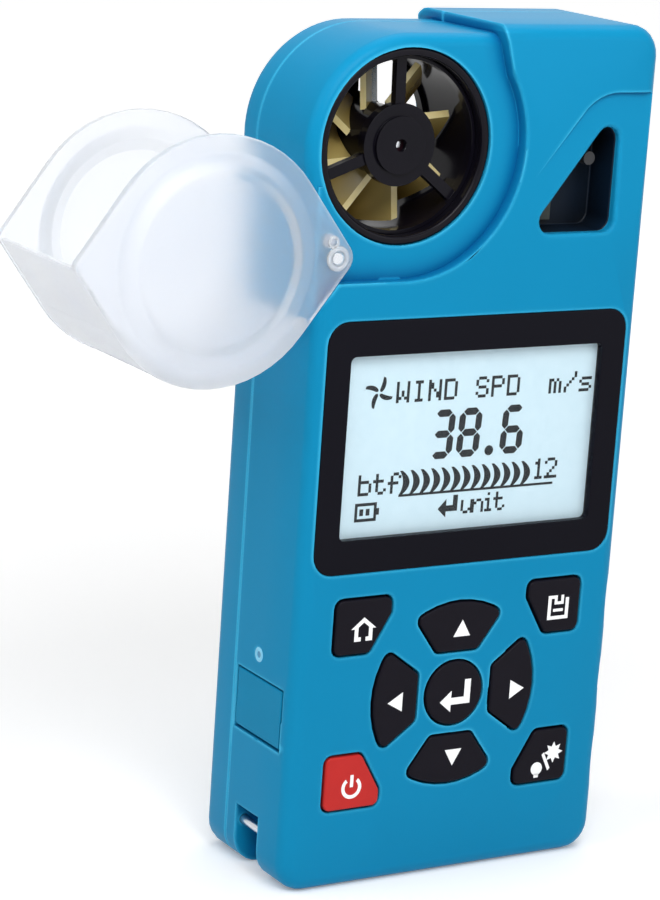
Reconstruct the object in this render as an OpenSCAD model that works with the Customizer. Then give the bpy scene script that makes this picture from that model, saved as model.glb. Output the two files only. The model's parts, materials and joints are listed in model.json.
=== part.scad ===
// Handheld vane anemometer with a flip-over impeller cap.
// X runs across the front face, Y from front to back, Z up. The origin is the middle of the base.
// Depths are measured backwards from the front face.

/* [Case] */
// Width of the case
case_w = 62; // [60:0.5:66]
// Front-to-back depth of the case
case_d = 27; // [27:0.5:30]
// Height of the case
case_h = 142; // [142:0.5:150]
// Thickness of the case walls
wall = 2; // [1.6:0.1:2.2]
// Radius of the edges round the front face
front_edge = 2.5; // [1:0.1:2.8]
// Radius of the edges round the rear face
rear_edge = 3; // [1:0.1:3.2]
// Radius of the case corners, seen from the front
corner_r = 5; // [3.5:0.1:6]
// Depth of the plane where the two shells meet
split_depth = 19; // [18.6:0.1:19.4]
// Depth of the finger scallops on the right side
scallop = 1; // [0.4:0.1:1.2]
// Distance between neighbouring finger scallops
scallop_pitch = 14.2; // [13:0.1:15]
// Height of the middle finger scallop
scallop_z = 30.4; // [28:0.1:32]

/* [Fits] */
// Clearance of a piece held still in its seat
fit = 0.05; // [0.02:0.01:0.1]
// Radial clearance of a shaft that turns in its hole
run = 0.05; // [0.02:0.01:0.08]
// Gap round a piece that moves
gap = 0.35; // [0.3:0.01:0.45]

/* [Impeller] */
// Distance of the impeller axis from the left side
duct_side = 15.7; // [15.4:0.1:16]
// Distance of the impeller axis below the top
duct_drop = 19.5; // [19:0.1:20]
// Outer radius of the duct ring
duct_r = 15.65; // [15.2:0.05:15.9]
// Wall of the duct ring
duct_wall = 1.4; // [1.2:0.1:1.6]
// Radius of the rounded drum of the case round the duct
drum_r = 17.8; // [17.4:0.1:18]
// Gap between the front bridge and the rotor
rotor_gap = 1.6; // [0.8:0.1:2]
// Gap between the rotor and the sensor that counts its turns
sensor_gap = 0.6; // [0.4:0.1:1.2]
// Distance of the blades from the front end of the rotor
blade_start = 2.9; // [0.6:0.1:4]
// Radius of the rotor hub
hub_r = 5.6; // [5:0.1:6]
// Number of rotor blades
blade_count = 8; // [5:1:9]
// Pitch of the blades to the airflow
blade_pitch = 44; // [36:1:48]
// Turn of the first blade from the X axis
blade_phase = 5; // [0:1:44]
// Thickness of a blade
blade_t = 0.8; // [0.6:0.1:1]
// Radius of the disc in the middle of each bridge
bridge_hub_r = 6.6; // [5.5:0.1:6.8]
// Thickness of each bridge along the axis
bridge_t = 1.8; // [1.6:0.1:2.6]
// Width of the three bridge arms
arm_w = 1.8; // [1.4:0.1:2.4]
// Radius of the rotor shaft
shaft_r = 0.5; // [0.4:0.05:0.7]
// Outer radius of the jewel bearings
jewel_r = 1.25; // [1.1:0.05:1.6]

// Distance of the duct's back end from the back of the case
duct_end = 5.5; // [5.2:0.1:6.5]
// Depth of the front bridge inside the duct's front end
front_seat = 2.1; // [0.5:0.1:2.4]
// Depth of the rear bridge inside the duct's back end
rear_seat = 0.5; // [0.4:0.1:0.8]
// Width of the ring that holds each bridge's arms
bridge_rim = 0.6; // [0.5:0.1:1]

/* [Cap] */
// Distance of the cap's pivot from the impeller axis, across the case
pivot_across = 13.1; // [12.9:0.1:13.3]
// Distance of the cap's pivot below the impeller axis
pivot_below = 16.8; // [16.5:0.1:17.1]
// Radius of the round part of the cap
cap_r = 19.7; // [19.5:0.05:19.9]
// Thickness of the cap's two plates
cap_t = 1.4; // [1:0.1:1.6]
// Thickness of the cap's curved wall
cap_wall = 1.4; // [1:0.1:1.5]
// Reach of the thumb end from the cap's centre
thumb_reach = 22.6; // [21.5:0.1:22.7]
// Radius of the thumb end
thumb_r = 1.4; // [1:0.1:1.8]
// Radius of the cap's ears round the pivot
ear_r = 2.8; // [2.4:0.1:2.9]
// How far the plates stand proud of the case faces
cap_proud = 0.4; // [0.2:0.1:0.8]
// Height of the raised dome on each plate
dome_h = 1.2; // [0.6:0.1:1.6]
// Radius of the dome's foot
dome_r = 17; // [16:0.1:17.2]
// Width of the dome's sloping ring
dome_ring = 2.8; // [1.6:0.1:3.2]
// Radius of the cap pivot pin
pivot_pin_r = 0.9; // [0.7:0.05:1]
// Depth of the flat recess that takes each plate
recess = 2.4; // [2.2:0.1:2.6]
// Radius of the recess round the impeller axis
recess_r = 21; // [20.8:0.1:21.2]
// Distance of the hood's side wall from the impeller axis
step_across = 15.6; // [15.5:0.1:16.1]

/* [Display] */
// Distance of the display bezel from the case's sides
bezel_side = 2.25; // [2:0.05:3]
// Height of the display bezel
bezel_h = 41.4; // [40:0.1:42]
// Share of the free height of the front that lies above the bezel
above_bezel = 0.251; // [0.24:0.001:0.262]
// Thickness of the bezel
bezel_t = 1.6; // [1.4:0.1:1.8]
// Distance of the window from the bezel's sides
window_side = 4.45; // [3.8:0.05:5.6]
// Height of the window in the bezel
window_h = 30.1; // [28:0.1:31]
// Distance of the window above the bezel's lower edge
window_rise = 5.6; // [5:0.1:6.2]
// Thickness of the window pane
pane_t = 0.6; // [0.5:0.1:0.9]
// Thickness of the display glass
glass_t = 2; // [1.6:0.1:2.4]
// How far the display glass reaches past the window
glass_lap = 2; // [1.6:0.1:2.2]

/* [Keys] */
// Share of the free height of the front that lies between bezel and keypad
above_keypad = 0.181; // [0.17:0.001:0.19]
// Diameter of the round middle key
enter_d = 11; // [10:0.1:11.4]
// Radius of the ring of arrow keys
arrow_out_r = 15.7; // [15.2:0.1:16]
// Distance of the arrow keys' inner side from the keypad's centre
arrow_in = 7.3; // [7.1:0.1:7.8]
// Width of a corner key
corner_key_w = 10.5; // [10:0.1:10.8]
// Height of a corner key
corner_key_h = 9.2; // [8.8:0.1:9.6]
// Sideways distance of the corner keys from the keypad's centre
corner_key_x = 18.7; // [18.6:0.1:19]
// Upward distance of the corner keys from the keypad's centre
corner_key_z = 13.3; // [13.2:0.1:13.5]
// How far the keys stand proud of the front face
key_proud = 0.3; // [0:0.1:0.8]
// Travel of a key when pressed
key_travel = 0.6; // [0.3:0.05:0.7]
// How far a key's flange reaches under the front wall
key_flange = 0.65; // [0.6:0.05:0.7]
// Thickness of a key's flange
flange_t = 0.8; // [0.6:0.1:1]
// Thickness of the rubber keypad seal
seal_t = 0.8; // [0.6:0.1:1]

/* [Electronics] */
// Depth of the main board's front face
board_depth = 8.3; // [8.3:0.1:8.8]
// Thickness of the main board
board_t = 1.6; // [1:0.1:1.6]
// Height of the dome switches above the board
switch_h = 0.8; // [0.6:0.1:1]
// Width of the processor
processor_w = 10; // [8:0.5:12]
// Width of the radio module
radio_w = 12; // [10:0.5:13]
// Height of the radio module
radio_h = 14; // [12:0.5:15]
// Width of the air pressure sensor
pressure_w = 3; // [2.5:0.5:4]
// Radius of the buzzer
buzzer_r = 4.5; // [4:0.1:5]
// Width of the display's ribbon
ribbon_w = 18; // [16:0.5:20]

/* [Sensor bay] */
// Distance of the bay's left end from the impeller axis
bay_across = 22.4; // [22.2:0.1:23.4]
// Distance of the bay's upright edge from the right side
bay_side = 6.6; // [6.4:0.1:7.4]
// Distance of the bay's lower edge below the impeller axis
bay_below = 14.2; // [13.6:0.1:15]
// Height of the bay along its upright edge
bay_h = 21.2; // [20:0.1:21.6]
// Corner radius of the bay
bay_corner = 2.2; // [1:0.1:2.2]
// Depth of the bay from the front face
bay_depth = 8; // [7:0.1:10]
// Thickness of the bay's walls
bay_wall = 1.2; // [1:0.1:1.3]
// How far the bay's flange reaches past its walls
bay_flange = 1.2; // [0.8:0.1:1.3]
// Tilt of the shallow facet that leads air into the bay
scoop_tilt = 2; // [0.5:0.1:2]
// Width of the facet along the bay's slanted side
scoop_w = 5.2; // [4.4:0.1:5.6]

/* [Battery compartment] */
// Radius of a battery cell
cell_r = 5.25; // [5:0.05:5.25]
// Length of a battery cell, without its button
cell_len = 43.7; // [43:0.1:44.5]
// Width of the battery door
door_w = 23.4; // [23:0.1:24]
// Thickness of the battery door
door_t = 1.6; // [1.2:0.1:1.7]
// Height of the door's hinge axis above the base
door_hinge_z = 7.6; // [7.4:0.1:8]
// Radius of the door's hinge barrel
barrel_r = 1.4; // [1.2:0.05:1.5]
// Radius of the door's hinge pin
door_pin_r = 0.6; // [0.5:0.05:0.7]

/* [Side fittings] */
// Distance of the charging port flap's lower edge below the keypad's centre
flap_below = 7.7; // [7.4:0.1:8]
// Height of the flap
flap_h = 10; // [9.6:0.1:10.4]
// Depth of the flap's front edge from the front face
flap_depth = 3.6; // [3.4:0.1:4]
// Width of the flap, front to back
flap_w = 14.2; // [14:0.1:14.4]
// Thickness of the flap
flap_t = 1.1; // [0.9:0.1:1.2]
// Distance of the charging lamp above the keypad's centre
lamp_above = 6.3; // [6.1:0.1:7]
// Height of the wrist strap slot
strap_h = 10.7; // [10:0.1:11]
// Depth of the strap slot's front wall from the front face
strap_depth = 8.5; // [8.5:0.1:9]
// Width of the strap slot, front to back
strap_w = 7.3; // [7:0.1:7.4]
// How far the strap slot reaches into the case
strap_reach = 5; // [4.6:0.1:5.2]
// Radius of the strap bar
strap_bar_r = 0.8; // [0.6:0.05:1]

/* [Rear fittings] */
// Height of the tripod bush above the base
tripod_z = 82; // [80:0.5:86]
// Radius of the tripod thread's crest
tripod_r = 2.6; // [2.5:0.05:3.2]
// Length of the tripod thread
tripod_len = 7; // [5:0.5:8]
// Radius of the case screws
screw_r = 1; // [0.8:0.05:1.1]
// Radius of the case screw heads
screw_head_r = 1.9; // [1.7:0.1:2.1]

/* [Hidden] */
$fn = 64;

half_w = case_w / 2;
front_y = -case_d / 2;
case_blue = "#1389bd";
soft_black = "#1a1a1e";
eps = 0.01;

duct_x = -half_w + duct_side;
duct_z = case_h - duct_drop;
pivot_x = duct_x - pivot_across;
pivot_z = duct_z - pivot_below;
step_x = duct_x + step_across;
core_top = duct_z + drum_r;
recess_z = duct_z - recess_r;
cap_reach = norm([duct_x - pivot_x, duct_z - pivot_z]);
cap_rim = 0.1;
cap_wall_from = 33;
cap_wall_to = 150;
thumb_wall_t = 0.7;
arm_angles = [92, 200, 322];

inner_left = -half_w + wall;
inner_right = half_w - wall - scallop;
deep_wall = recess + wall;
bezel_w = case_w - 2 * bezel_side;
window_w = bezel_w - 2 * window_side;
bezel_seat = 1;
keypad_h = 2 * corner_key_z + corner_key_h;
free_h = recess_z - bezel_h - keypad_h;
bezel_z = recess_z - above_bezel * free_h - bezel_h;
window_z = bezel_z + window_rise;
keypad_z = bezel_z - above_keypad * free_h - keypad_h / 2;
board_back = board_depth + board_t;
chip_t = 1;
ribbon_t = 0.4;
buzzer_h = 3.5;
buzzer_hole_r = 0.8;
key_flange_depth = wall + gap;
seal_depth = key_flange_depth + flange_t + key_travel + gap;
stem_end = board_depth - switch_h - key_travel - gap;
glass_depth = bezel_t + fit;

bay_left = duct_x + bay_across;
bay_right = half_w - bay_side;
bay_bottom = duct_z - bay_below;
scoop_top = bay_bottom + bay_h + 1.7;
thermistor_r = 1.1;
thermistor_x = bay_right - thermistor_r - 2.5;
thermistor_z = bay_bottom + bay_h / 2 + thermistor_r;
humidity_w = 3.2;
humidity_x = bay_left + 5.9;
cell_depth = case_d - door_t - gap - cell_r - 0.1;
tray_wall = 1.2;
tray_in_w = 4 * cell_r + 1.2;
tray_w = tray_in_w + 2 * tray_wall;
tray_front = cell_depth - cell_r - gap - tray_wall;
tray_z = door_hinge_z + barrel_r + gap + 0.1;
contact_t = 0.4;
contact_w = 2 * (cell_r - 0.9);
spring_r = cell_r - 1.65;
spring_len = 3.4;
button_h = 0.8;
tray_in_h = cell_len + button_h + spring_len + 2 * (contact_t + fit);
tray_h = tray_in_h + 2 * tray_wall;
tray_in_z = tray_z + tray_wall;
door_opening_w = door_w + 2 * gap;
barrel_depth = case_d - barrel_r;
door_boss_r = screw_r + 1.4;
door_screw_z = tray_z + tray_h + door_boss_r + 0.25;
door_top = door_screw_z + door_boss_r;
door_pin_half = door_opening_w / 2 + 2.6;
head_sink = 2;

duct_in_r = duct_r - duct_wall;
duct_inset = recess + 0.3;
bridge_depth = duct_inset + front_seat;
rear_shift = duct_end + rear_seat - bridge_depth;
hall_t = 1.4;
hall_back = case_d - duct_end - rear_seat - bridge_t;
rotor_depth = bridge_depth + bridge_t + rotor_gap;
rotor_back = hall_back - hall_t - sensor_gap;
blade_depth = rotor_depth + blade_start;
blade_back = rotor_back - 0.2;
boss_h = 0.6;
jewel_t = bridge_t - 0.4;
magnet_r = 1.15;
magnet_x = hub_r - magnet_r - 0.8;
magnet_t = 2;

bush_r = tripod_r + 1.3;
flap_z = keypad_z - flap_below;
lamp_z = keypad_z + lamp_above;
flap_pad = 1.2;
flap_barrel_r = 0.7;
flap_pin_r = 0.3;
flap_hinge_x = -half_w + flap_barrel_r;
flap_hinge_z = flap_z + flap_barrel_r;
port_z = flap_z + flap_h / 2 + 0.3;
port_w = 8.8;
port_t = 3.1;
port_wall = 0.4;
lamp_depth = board_back + 1.9;
lamp_r = 1;
strap_bar_x = -half_w + 1.7;
strap_bar_z = strap_h - 2.9;
strap_bar_hold = 1.5;
detent_r = 1.1;
detent_x = pivot_x - 0.9;
detent_z = pivot_z + 2.6;
detent_rise = 0.8;
detent_seat = 1.6;
gasket_t = 0.8;
gasket_w = 0.7;
gasket_top = recess_z - 8;

low_screws = [for (side = [-1, 1]) [side * (half_w - 9), keypad_z + 4.9]];
mid_screws = [[-half_w + 7, recess_z - 3.6], [half_w - 6, recess_z - 1.7]];
top_screws = [[half_w - 6, case_h - 7], [step_x + wall + 4.2, case_h - 5.5]];
board_screws = concat(low_screws, mid_screws);
post_r = screw_r + 1.6;
post_meet = 14;

// --- helpers -------------------------------------------------------------------------

function unit(v) = v / norm(v);
function shortest(a) = a > 180 ? a - 360 : a < -180 ? a + 360 : a;

// Points of the arc that rounds corner b between its neighbours a and c.
function corner_arc(a, b, c, r, n) =
    r < eps ? [b] :
    let(
        u = unit(a - b),
        v = unit(c - b),
        half = acos(u * v) / 2,
        centre = b + unit(u + v) * r / sin(half),
        p = b + u * r / tan(half) - centre,
        q = b + v * r / tan(half) - centre,
        start = atan2(p[1], p[0]),
        sweep = shortest(atan2(q[1], q[0]) - start)
    )
    [for (i = [0:n]) centre + r * [cos(start + sweep * i / n), sin(start + sweep * i / n)]];

// The outline with each corner rounded; radii holds one radius for each point.
function rounded(points, radii, n = 6) = [
    for (i = [0:len(points) - 1])
        each corner_arc(
            points[(i + len(points) - 1) % len(points)], points[i],
            points[(i + 1) % len(points)], radii[i], n)
];

function box_points(x0, z0, x1, z1) = [[x0, z0], [x1, z0], [x1, z1], [x0, z1]];

// Extrudes an outline drawn in X and Z from one depth to another.
module slab(d0, d1) {
    translate([0, front_y + d1, 0]) rotate([90, 0, 0]) linear_extrude(d1 - d0) children();
}

// Extrudes an outline drawn in Y and Z from one X to another.
module bar(x0, x1) {
    translate([x0, 0, 0]) rotate([90, 0, 90]) linear_extrude(x1 - x0) children();
}

// Round rod along Y between two depths.
module rod(x, z, r, d0, d1) {
    translate([x, front_y + d0, z]) rotate([-90, 0, 0]) cylinder(r = r, h = d1 - d0);
}

// Round rod along X.
module cross_rod(x0, x1, depth, z, r) {
    translate([x0, front_y + depth, z]) rotate([0, 90, 0]) cylinder(r = r, h = x1 - x0);
}

// Rectangular block given by its X range, depth range and Z range.
module block(x, depth, z) {
    translate([x[0], front_y + depth[0], z[0]])
        cube([x[1] - x[0], depth[1] - depth[0], z[1] - z[0]]);
}

module round_box(x0, z0, x1, z1, r) {
    polygon(rounded(box_points(x0, z0, x1, z1), [r, r, r, r]));
}

// --- case ----------------------------------------------------------------------------

module case_outline(inset) {
    round_box(-half_w + inset, inset, half_w - inset, case_h - inset, max(corner_r - inset, 1));
}

// One slice of the case at a depth, drawn in by a quarter-round edge.
module edge_slice(depth, r, from_edge) {
    inset = r - sqrt(r * r - (r - from_edge) * (r - from_edge));
    slab(depth, depth + eps) case_outline(inset);
}

module case_block() {
    hull() {
        for (t = [0, 0.12, 0.35, 0.65, 1]) {
            edge_slice(front_edge * t, front_edge, front_edge * t);
            edge_slice(case_d - rear_edge * t - eps, rear_edge, rear_edge * t);
        }
    }
}

// Front outline of the cap with its centre at the origin and its thumb end towards +X.
function cap_outline(grow = 0) =
    let(
        big = cap_r + grow,
        tip = thumb_r + grow,
        ear = ear_r + grow,
        tip_a = acos((big - tip) / thumb_reach),
        ear_a = 180 - acos((big - ear) / cap_reach)
    )
    concat(
        [for (i = [-3:3]) [thumb_reach + tip * cos(tip_a * i / 3), tip * sin(tip_a * i / 3)]],
        [for (i = [0:16]) let(a = tip_a + (ear_a - tip_a) * i / 16) big * [cos(a), sin(a)]],
        [for (i = [0:6]) let(a = ear_a + (360 - 2 * ear_a) * i / 6)
            [-cap_reach + ear * cos(a), ear * sin(a)]],
        [for (i = [0:16]) let(a = 360 - ear_a + (ear_a - tip_a) * i / 16) big * [cos(a), sin(a)]]
    );

// Everything that the cap's plates cover and pass over, up to the hood's wall.
module recess_area(grow = 0) {
    translate([duct_x, duct_z]) circle(recess_r + grow);
    translate([duct_x, duct_z])
        rotate(atan2(duct_z - pivot_z, duct_x - pivot_x)) polygon(cap_outline(gap + grow));
    translate([-case_w, recess_z - grow]) square([case_w + duct_x, case_h]);
    translate([-case_w, duct_z]) square([case_w + step_x + grow, case_h]);
    translate([pivot_x - cap_reach, pivot_z]) rotate(180) polygon(cap_outline(gap + grow));
}

module core() {
    edge = 2;
    intersection() {
        slab(recess, case_d - recess) recess_area(0.2);
        union() {
            translate([duct_x, front_y + recess, duct_z]) rotate([-90, 0, 0])
                rotate_extrude() polygon(rounded(
                    box_points(0, 0, drum_r, case_d - 2 * recess), [0, edge, edge, 0]));
            slab(recess, case_d - recess) translate([-half_w, recess_z - 6])
                square([half_w + recess_r + duct_x + 2, duct_z - recess_z]);
            bar(duct_x + 0.4, recess_r + 4 + duct_x) polygon(rounded(
                box_points(front_y + recess, recess_z, -front_y - recess, core_top),
                [0, 0, edge, edge]));
        }
    }
}

module scallops() {
    r = (scallop_pitch * scallop_pitch / 4 + scallop * scallop) / (2 * scallop);
    for (i = [-1:1])
        rod(half_w - scallop + r, scallop_z + i * scallop_pitch, r, -1, case_d + 1);
}

module case_form() {
    difference() {
        union() {
            difference() {
                case_block();
                slab(-1, case_d + 1) recess_area();
            }
            core();
        }
        scallops();
        block([-half_w - 1, -half_w + strap_reach], [strap_depth, strap_depth + strap_w],
            [-1, strap_h]);
    }
}

// Hollow of the case seen from the front, short of the drum and the core's outer walls.
module hollow_area() {
    difference() {
        round_box(inner_left, wall, inner_right, case_h - wall, corner_r - wall);
        translate([duct_x, duct_z]) circle(drum_r);
        translate([-case_w, duct_z - 6]) square([case_w + step_x + wall, case_h]);
        translate([-half_w, 0]) square([strap_reach + wall, strap_h + wall]);
        translate([pivot_x, pivot_z]) circle(ear_r);
    }
}

module shallow_area() {
    difference() {
        translate([-half_w, 0]) square([case_w, case_h]);
        recess_area(wall);
    }
}

module hollow() {
    slab(deep_wall, case_d - deep_wall) hollow_area();
    slab(wall, case_d - wall) intersection() {
        hollow_area();
        shallow_area();
    }
}

module half_case(d0, d1) {
    intersection() {
        difference() {
            case_form();
            hollow();
        }
        block([-case_w, case_w], [d0, d1], [-1, case_h + 1]);
    }
}

module duct_bore() {
    rod(duct_x, duct_z, duct_r + fit, -1, case_d + 1);
}

module pivot_bore() {
    rod(pivot_x, pivot_z, pivot_pin_r + fit, -1, case_d + 1);
}

module posts(places, d0, d1) {
    for (p = places) rod(p[0], p[1], post_r, d0, d1);
}

module screw_holes(r, d0, d1) {
    for (p = concat(board_screws, top_screws)) rod(p[0], p[1], r, d0, d1);
}

module bay_outline(grow) {
    slant = atan2(bay_h, bay_right - bay_left);
    left = bay_left - grow * (1 + cos(slant)) / sin(slant);
    right = bay_right + grow;
    low = bay_bottom - grow;
    polygon(rounded(
        [[left, low], [right, low], [right, low + (right - left) * tan(slant)]],
        [bay_corner + grow, bay_corner + grow, bay_corner + grow]));
}

// Facet round the bay that sinks towards the upper right corner of the front.
module bay_scoop() {
    slant = atan2(bay_h, bay_right - bay_left);
    low = bay_bottom - scoop_w;
    left = bay_left - scoop_w * (1 + cos(slant)) / sin(slant);
    right = half_w + 1;
    fade = [bay_left + 1, bay_bottom + 9];
    turn = atan2(low - fade[1], right - fade[0]);
    intersection() {
        slab(-1, wall - 0.6) polygon(rounded(
            [[left, low], [right, low], [right, scoop_top],
             [left + (scoop_top - low) / tan(slant), scoop_top]],
            [0, 0, 0, 9]));
        translate([fade[0], front_y, fade[1]]) rotate([0, -turn, 0]) rotate([-scoop_tilt, 0, 0])
            translate([-case_w, -1, 0]) cube([2 * case_w, 1, case_w]);
    }
}

module bezel_outline(grow) {
    round_box(-bezel_w / 2 - grow, bezel_z - grow, bezel_w / 2 + grow, bezel_z + bezel_h + grow,
        3.5 + grow);
}

module glass_outline(grow) {
    side = window_w / 2 + glass_lap + grow;
    round_box(-side, window_z - glass_lap - grow, side, window_z + window_h + glass_lap + grow,
        0.5);
}

module front_shell() {
    color(case_blue) difference() {
        union() {
            half_case(0, split_depth);
            slab(wall - eps, glass_depth + 1) bezel_outline(bezel_seat);
            posts(board_screws, wall - eps, board_depth);
            posts(top_screws, wall - eps, post_meet);
            block([inner_left - eps, inner_left + flap_pad], [flap_depth - 1.2, split_depth],
                [flap_z - 1.4, flap_z + flap_h + 1.4]);
        }
        duct_bore();
        pivot_bore();
        slab(-1, bezel_t) bezel_outline(fit);
        slab(-1, glass_depth + glass_t) glass_outline(fit);
        slab(-1, wall + 1) bay_outline(0);
        bay_scoop();
        for (name = key_names) key_hole(name);
        screw_holes(screw_r + fit, board_depth - 5, split_depth + 1);
        flap_pocket();
        cross_rod(-half_w - 1, inner_left + 1, lamp_depth, lamp_z, lamp_r + fit);
        rod(strap_bar_x, strap_bar_z, strap_bar_r + fit, strap_depth - strap_bar_hold,
            strap_depth + strap_w + strap_bar_hold);
        rod(detent_x, detent_z, detent_r + fit, recess - 1, recess + detent_seat);
        slab(split_depth - gasket_t / 2 - fit, split_depth + 1) gasket_area(fit);
    }
}

module rear_shell() {
    color(case_blue) difference() {
        union() {
            half_case(split_depth, case_d);
            posts(board_screws, board_back, case_d - wall + eps);
            posts(top_screws, post_meet, case_d - wall + eps);
            rod(0, tripod_z, bush_r + 1.4, case_d - tripod_len - 1.4, case_d - eps);
            for (side = [-1, 1]) door_lug(side);
            rod(0, door_screw_z, door_boss_r, split_depth, case_d - door_t - gap);
            block([-door_opening_w / 2 - 1, door_opening_w / 2 + 1],
                [case_d - wall - 1.6, case_d - wall + eps],
                [tray_z + tray_h + fit, tray_z + tray_h + 1.2]);
        }
        duct_bore();
        pivot_bore();
        screw_holes(screw_r + gap, board_back - 1, case_d + 1);
        screw_holes(screw_head_r + fit, case_d - head_sink, case_d + 1);
        rod(0, tripod_z, bush_r + fit, case_d - tripod_len, case_d + 1);
        door_opening();
        cross_rod(-door_pin_half, door_pin_half, barrel_depth, door_hinge_z, door_pin_r + fit);
        rod(0, door_screw_z, screw_r + gap, split_depth + 1, case_d + 1);
        slab(split_depth - 1, split_depth + gasket_t / 2 + fit) gasket_area(fit);
    }
}

// Path of the seal between the shells, along the middle of the side and bottom walls.
module gasket_area(grow) {
    out = (wall - gasket_w) / 2 - grow;
    in = (wall + gasket_w) / 2 + grow;
    intersection() {
        difference() {
            round_box(-half_w + out, out, half_w - out - scallop, case_h, corner_r - out);
            round_box(-half_w + in, in, half_w - in - scallop, case_h, corner_r - in);
        }
        translate([-case_w, 0]) square([2 * case_w, gasket_top + grow]);
    }
}

module case_gasket() {
    color("#3a3a40") slab(split_depth - gasket_t / 2, split_depth + gasket_t / 2) gasket_area(0);
}

module case_screws() {
    seat = case_d - head_sink;
    color("#b9bcc2") for (p = concat(board_screws, top_screws)) difference() {
        union() {
            rod(p[0], p[1], screw_r, board_depth - 4.5, seat + eps);
            rod(p[0], p[1], screw_head_r, seat, seat + 1.3);
        }
        rod(p[0], p[1], screw_head_r / 2, seat + 0.6, seat + 2);
    }
}

// --- impeller ------------------------------------------------------------------------

module ring(r_out, r_in, d0, d1) {
    difference() {
        rod(duct_x, duct_z, r_out, d0, d1);
        rod(duct_x, duct_z, r_in, d0 - 1, d1 + 1);
    }
}

module impeller_duct() {
    color(soft_black) ring(duct_r, duct_in_r, duct_inset, case_d - duct_end);
}

// Ring, three arms and hub disc that hold one bearing; the outer side faces depth 0.
module bridge() {
    out_r = duct_in_r - fit;
    d1 = bridge_depth + bridge_t;
    difference() {
        union() {
            ring(out_r, out_r - bridge_rim, bridge_depth, d1);
            rod(duct_x, duct_z, bridge_hub_r, bridge_depth, d1);
            rod(duct_x, duct_z, bridge_hub_r * 0.7, bridge_depth - boss_h, bridge_depth + 0.5);
            slab(bridge_depth + 0.3, d1 - 0.1) for (a = arm_angles)
                translate([duct_x, duct_z]) rotate(a) translate([bridge_hub_r - 1, -arm_w / 2])
                    square([out_r - bridge_hub_r + 0.6, arm_w]);
        }
        rod(duct_x, duct_z, jewel_r - 0.25, bridge_depth - 2, d1 + 1);
        rod(duct_x, duct_z, jewel_r + fit, d1 - jewel_t, d1 + 1);
    }
}

module front_bridge() {
    color(soft_black) bridge();
}

module rear_bridge() {
    color(soft_black) translate([0, -rear_shift, 0]) mirror([0, 1, 0]) bridge();
}

module rotor() {
    chord = (blade_back - blade_depth) / cos(blade_pitch);
    tip_r = duct_in_r - 0.6;
    color("#8a7a28") difference() {
        union() {
            rod(duct_x, duct_z, hub_r, rotor_depth, rotor_back);
            intersection() {
                rod(duct_x, duct_z, tip_r, blade_depth, blade_back);
                for (i = [0:blade_count - 1])
                    translate([duct_x, front_y + (blade_depth + blade_back) / 2, duct_z])
                        rotate([0, -blade_phase - 360 / blade_count * i, 0])
                            rotate([-blade_pitch, 0, 0])
                                translate([hub_r - 0.6, -chord, -blade_t / 2])
                                    cube([tip_r, 2 * chord, blade_t]);
            }
        }
        rod(duct_x, duct_z, shaft_r + fit, rotor_depth - 1, rotor_back + 1);
        magnets(magnet_r + fit, rotor_back + 1);
    }
}

module rotor_shaft() {
    end = bridge_depth + bridge_t - jewel_t + 0.2;
    color("#c8cace") rod(duct_x, duct_z, shaft_r, end, case_d - end - rear_shift);
}

module jewel_bearings() {
    d1 = bridge_depth + bridge_t;
    color("#b3204a") for (side = [0, 1]) translate([0, -side * rear_shift, 0]) mirror([0, side, 0])
        difference() {
            rod(duct_x, duct_z, jewel_r, d1 - jewel_t + fit, d1);
            rod(duct_x, duct_z, shaft_r + run, 0, d1 + 1);
        }
}

module magnets(r, end) {
    for (side = [-1, 1]) rod(duct_x + side * magnet_x, duct_z, r, rotor_back - magnet_t, end);
}

module rotor_magnets() {
    color("#7d8086") magnets(magnet_r, rotor_back - fit);
}

module hall_sensor() {
    color("#202024") block([duct_x + magnet_x - 1.5, duct_x + magnet_x + 1.5], [hall_back - hall_t, hall_back],
        [duct_z - 2, duct_z + 2]);
}

// --- cap -----------------------------------------------------------------------------

module cap_plate() {
    slab(-cap_proud, cap_t - cap_proud) translate([pivot_x - cap_reach, pivot_z])
        rotate(180) polygon(cap_outline());
}

module dome(r, h, depth) {
    translate([pivot_x - cap_reach, front_y + depth, pivot_z]) rotate([90, 0, 0])
        cylinder(r1 = r, r2 = r - dome_ring, h = h);
}

module cap_half() {
    difference() {
        union() {
            cap_plate();
            dome(dome_r, dome_h, -cap_proud + eps);
        }
        dome(dome_r - 1.1, dome_h + 0.5, cap_t - cap_proud + 0.5);
        rod(pivot_x, pivot_z, pivot_pin_r + run, -2, case_d);
    }
}

// Line of the cap's straight wall at an inset from its outline, from the thumb end inwards.
function wall_line(inset) =
    let(a = acos((cap_r - thumb_r) / thumb_reach), tip = thumb_r - inset)
    concat(
        [for (i = [1:4]) [thumb_reach + tip * cos(a * i / 4), tip * sin(a * i / 4)]],
        [(cap_r - inset) * [cos(a), sin(a)]]
    );

// Straight part of the cap's wall, which runs from the curved part to the thumb end.
module thumb_wall() {
    near = wall_line(cap_rim + 0.05);
    far = wall_line(cap_rim + 0.05 + thumb_wall_t);
    end = (cap_r - cap_rim - cap_wall / 2) * [cos(cap_wall_from + 4), sin(cap_wall_from + 4)];
    slab(0, case_d) translate([pivot_x - cap_reach, pivot_z]) rotate(180) polygon(
        concat(near, [end], [for (i = [len(far) - 1:-1:0]) far[i]]));
}

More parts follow.
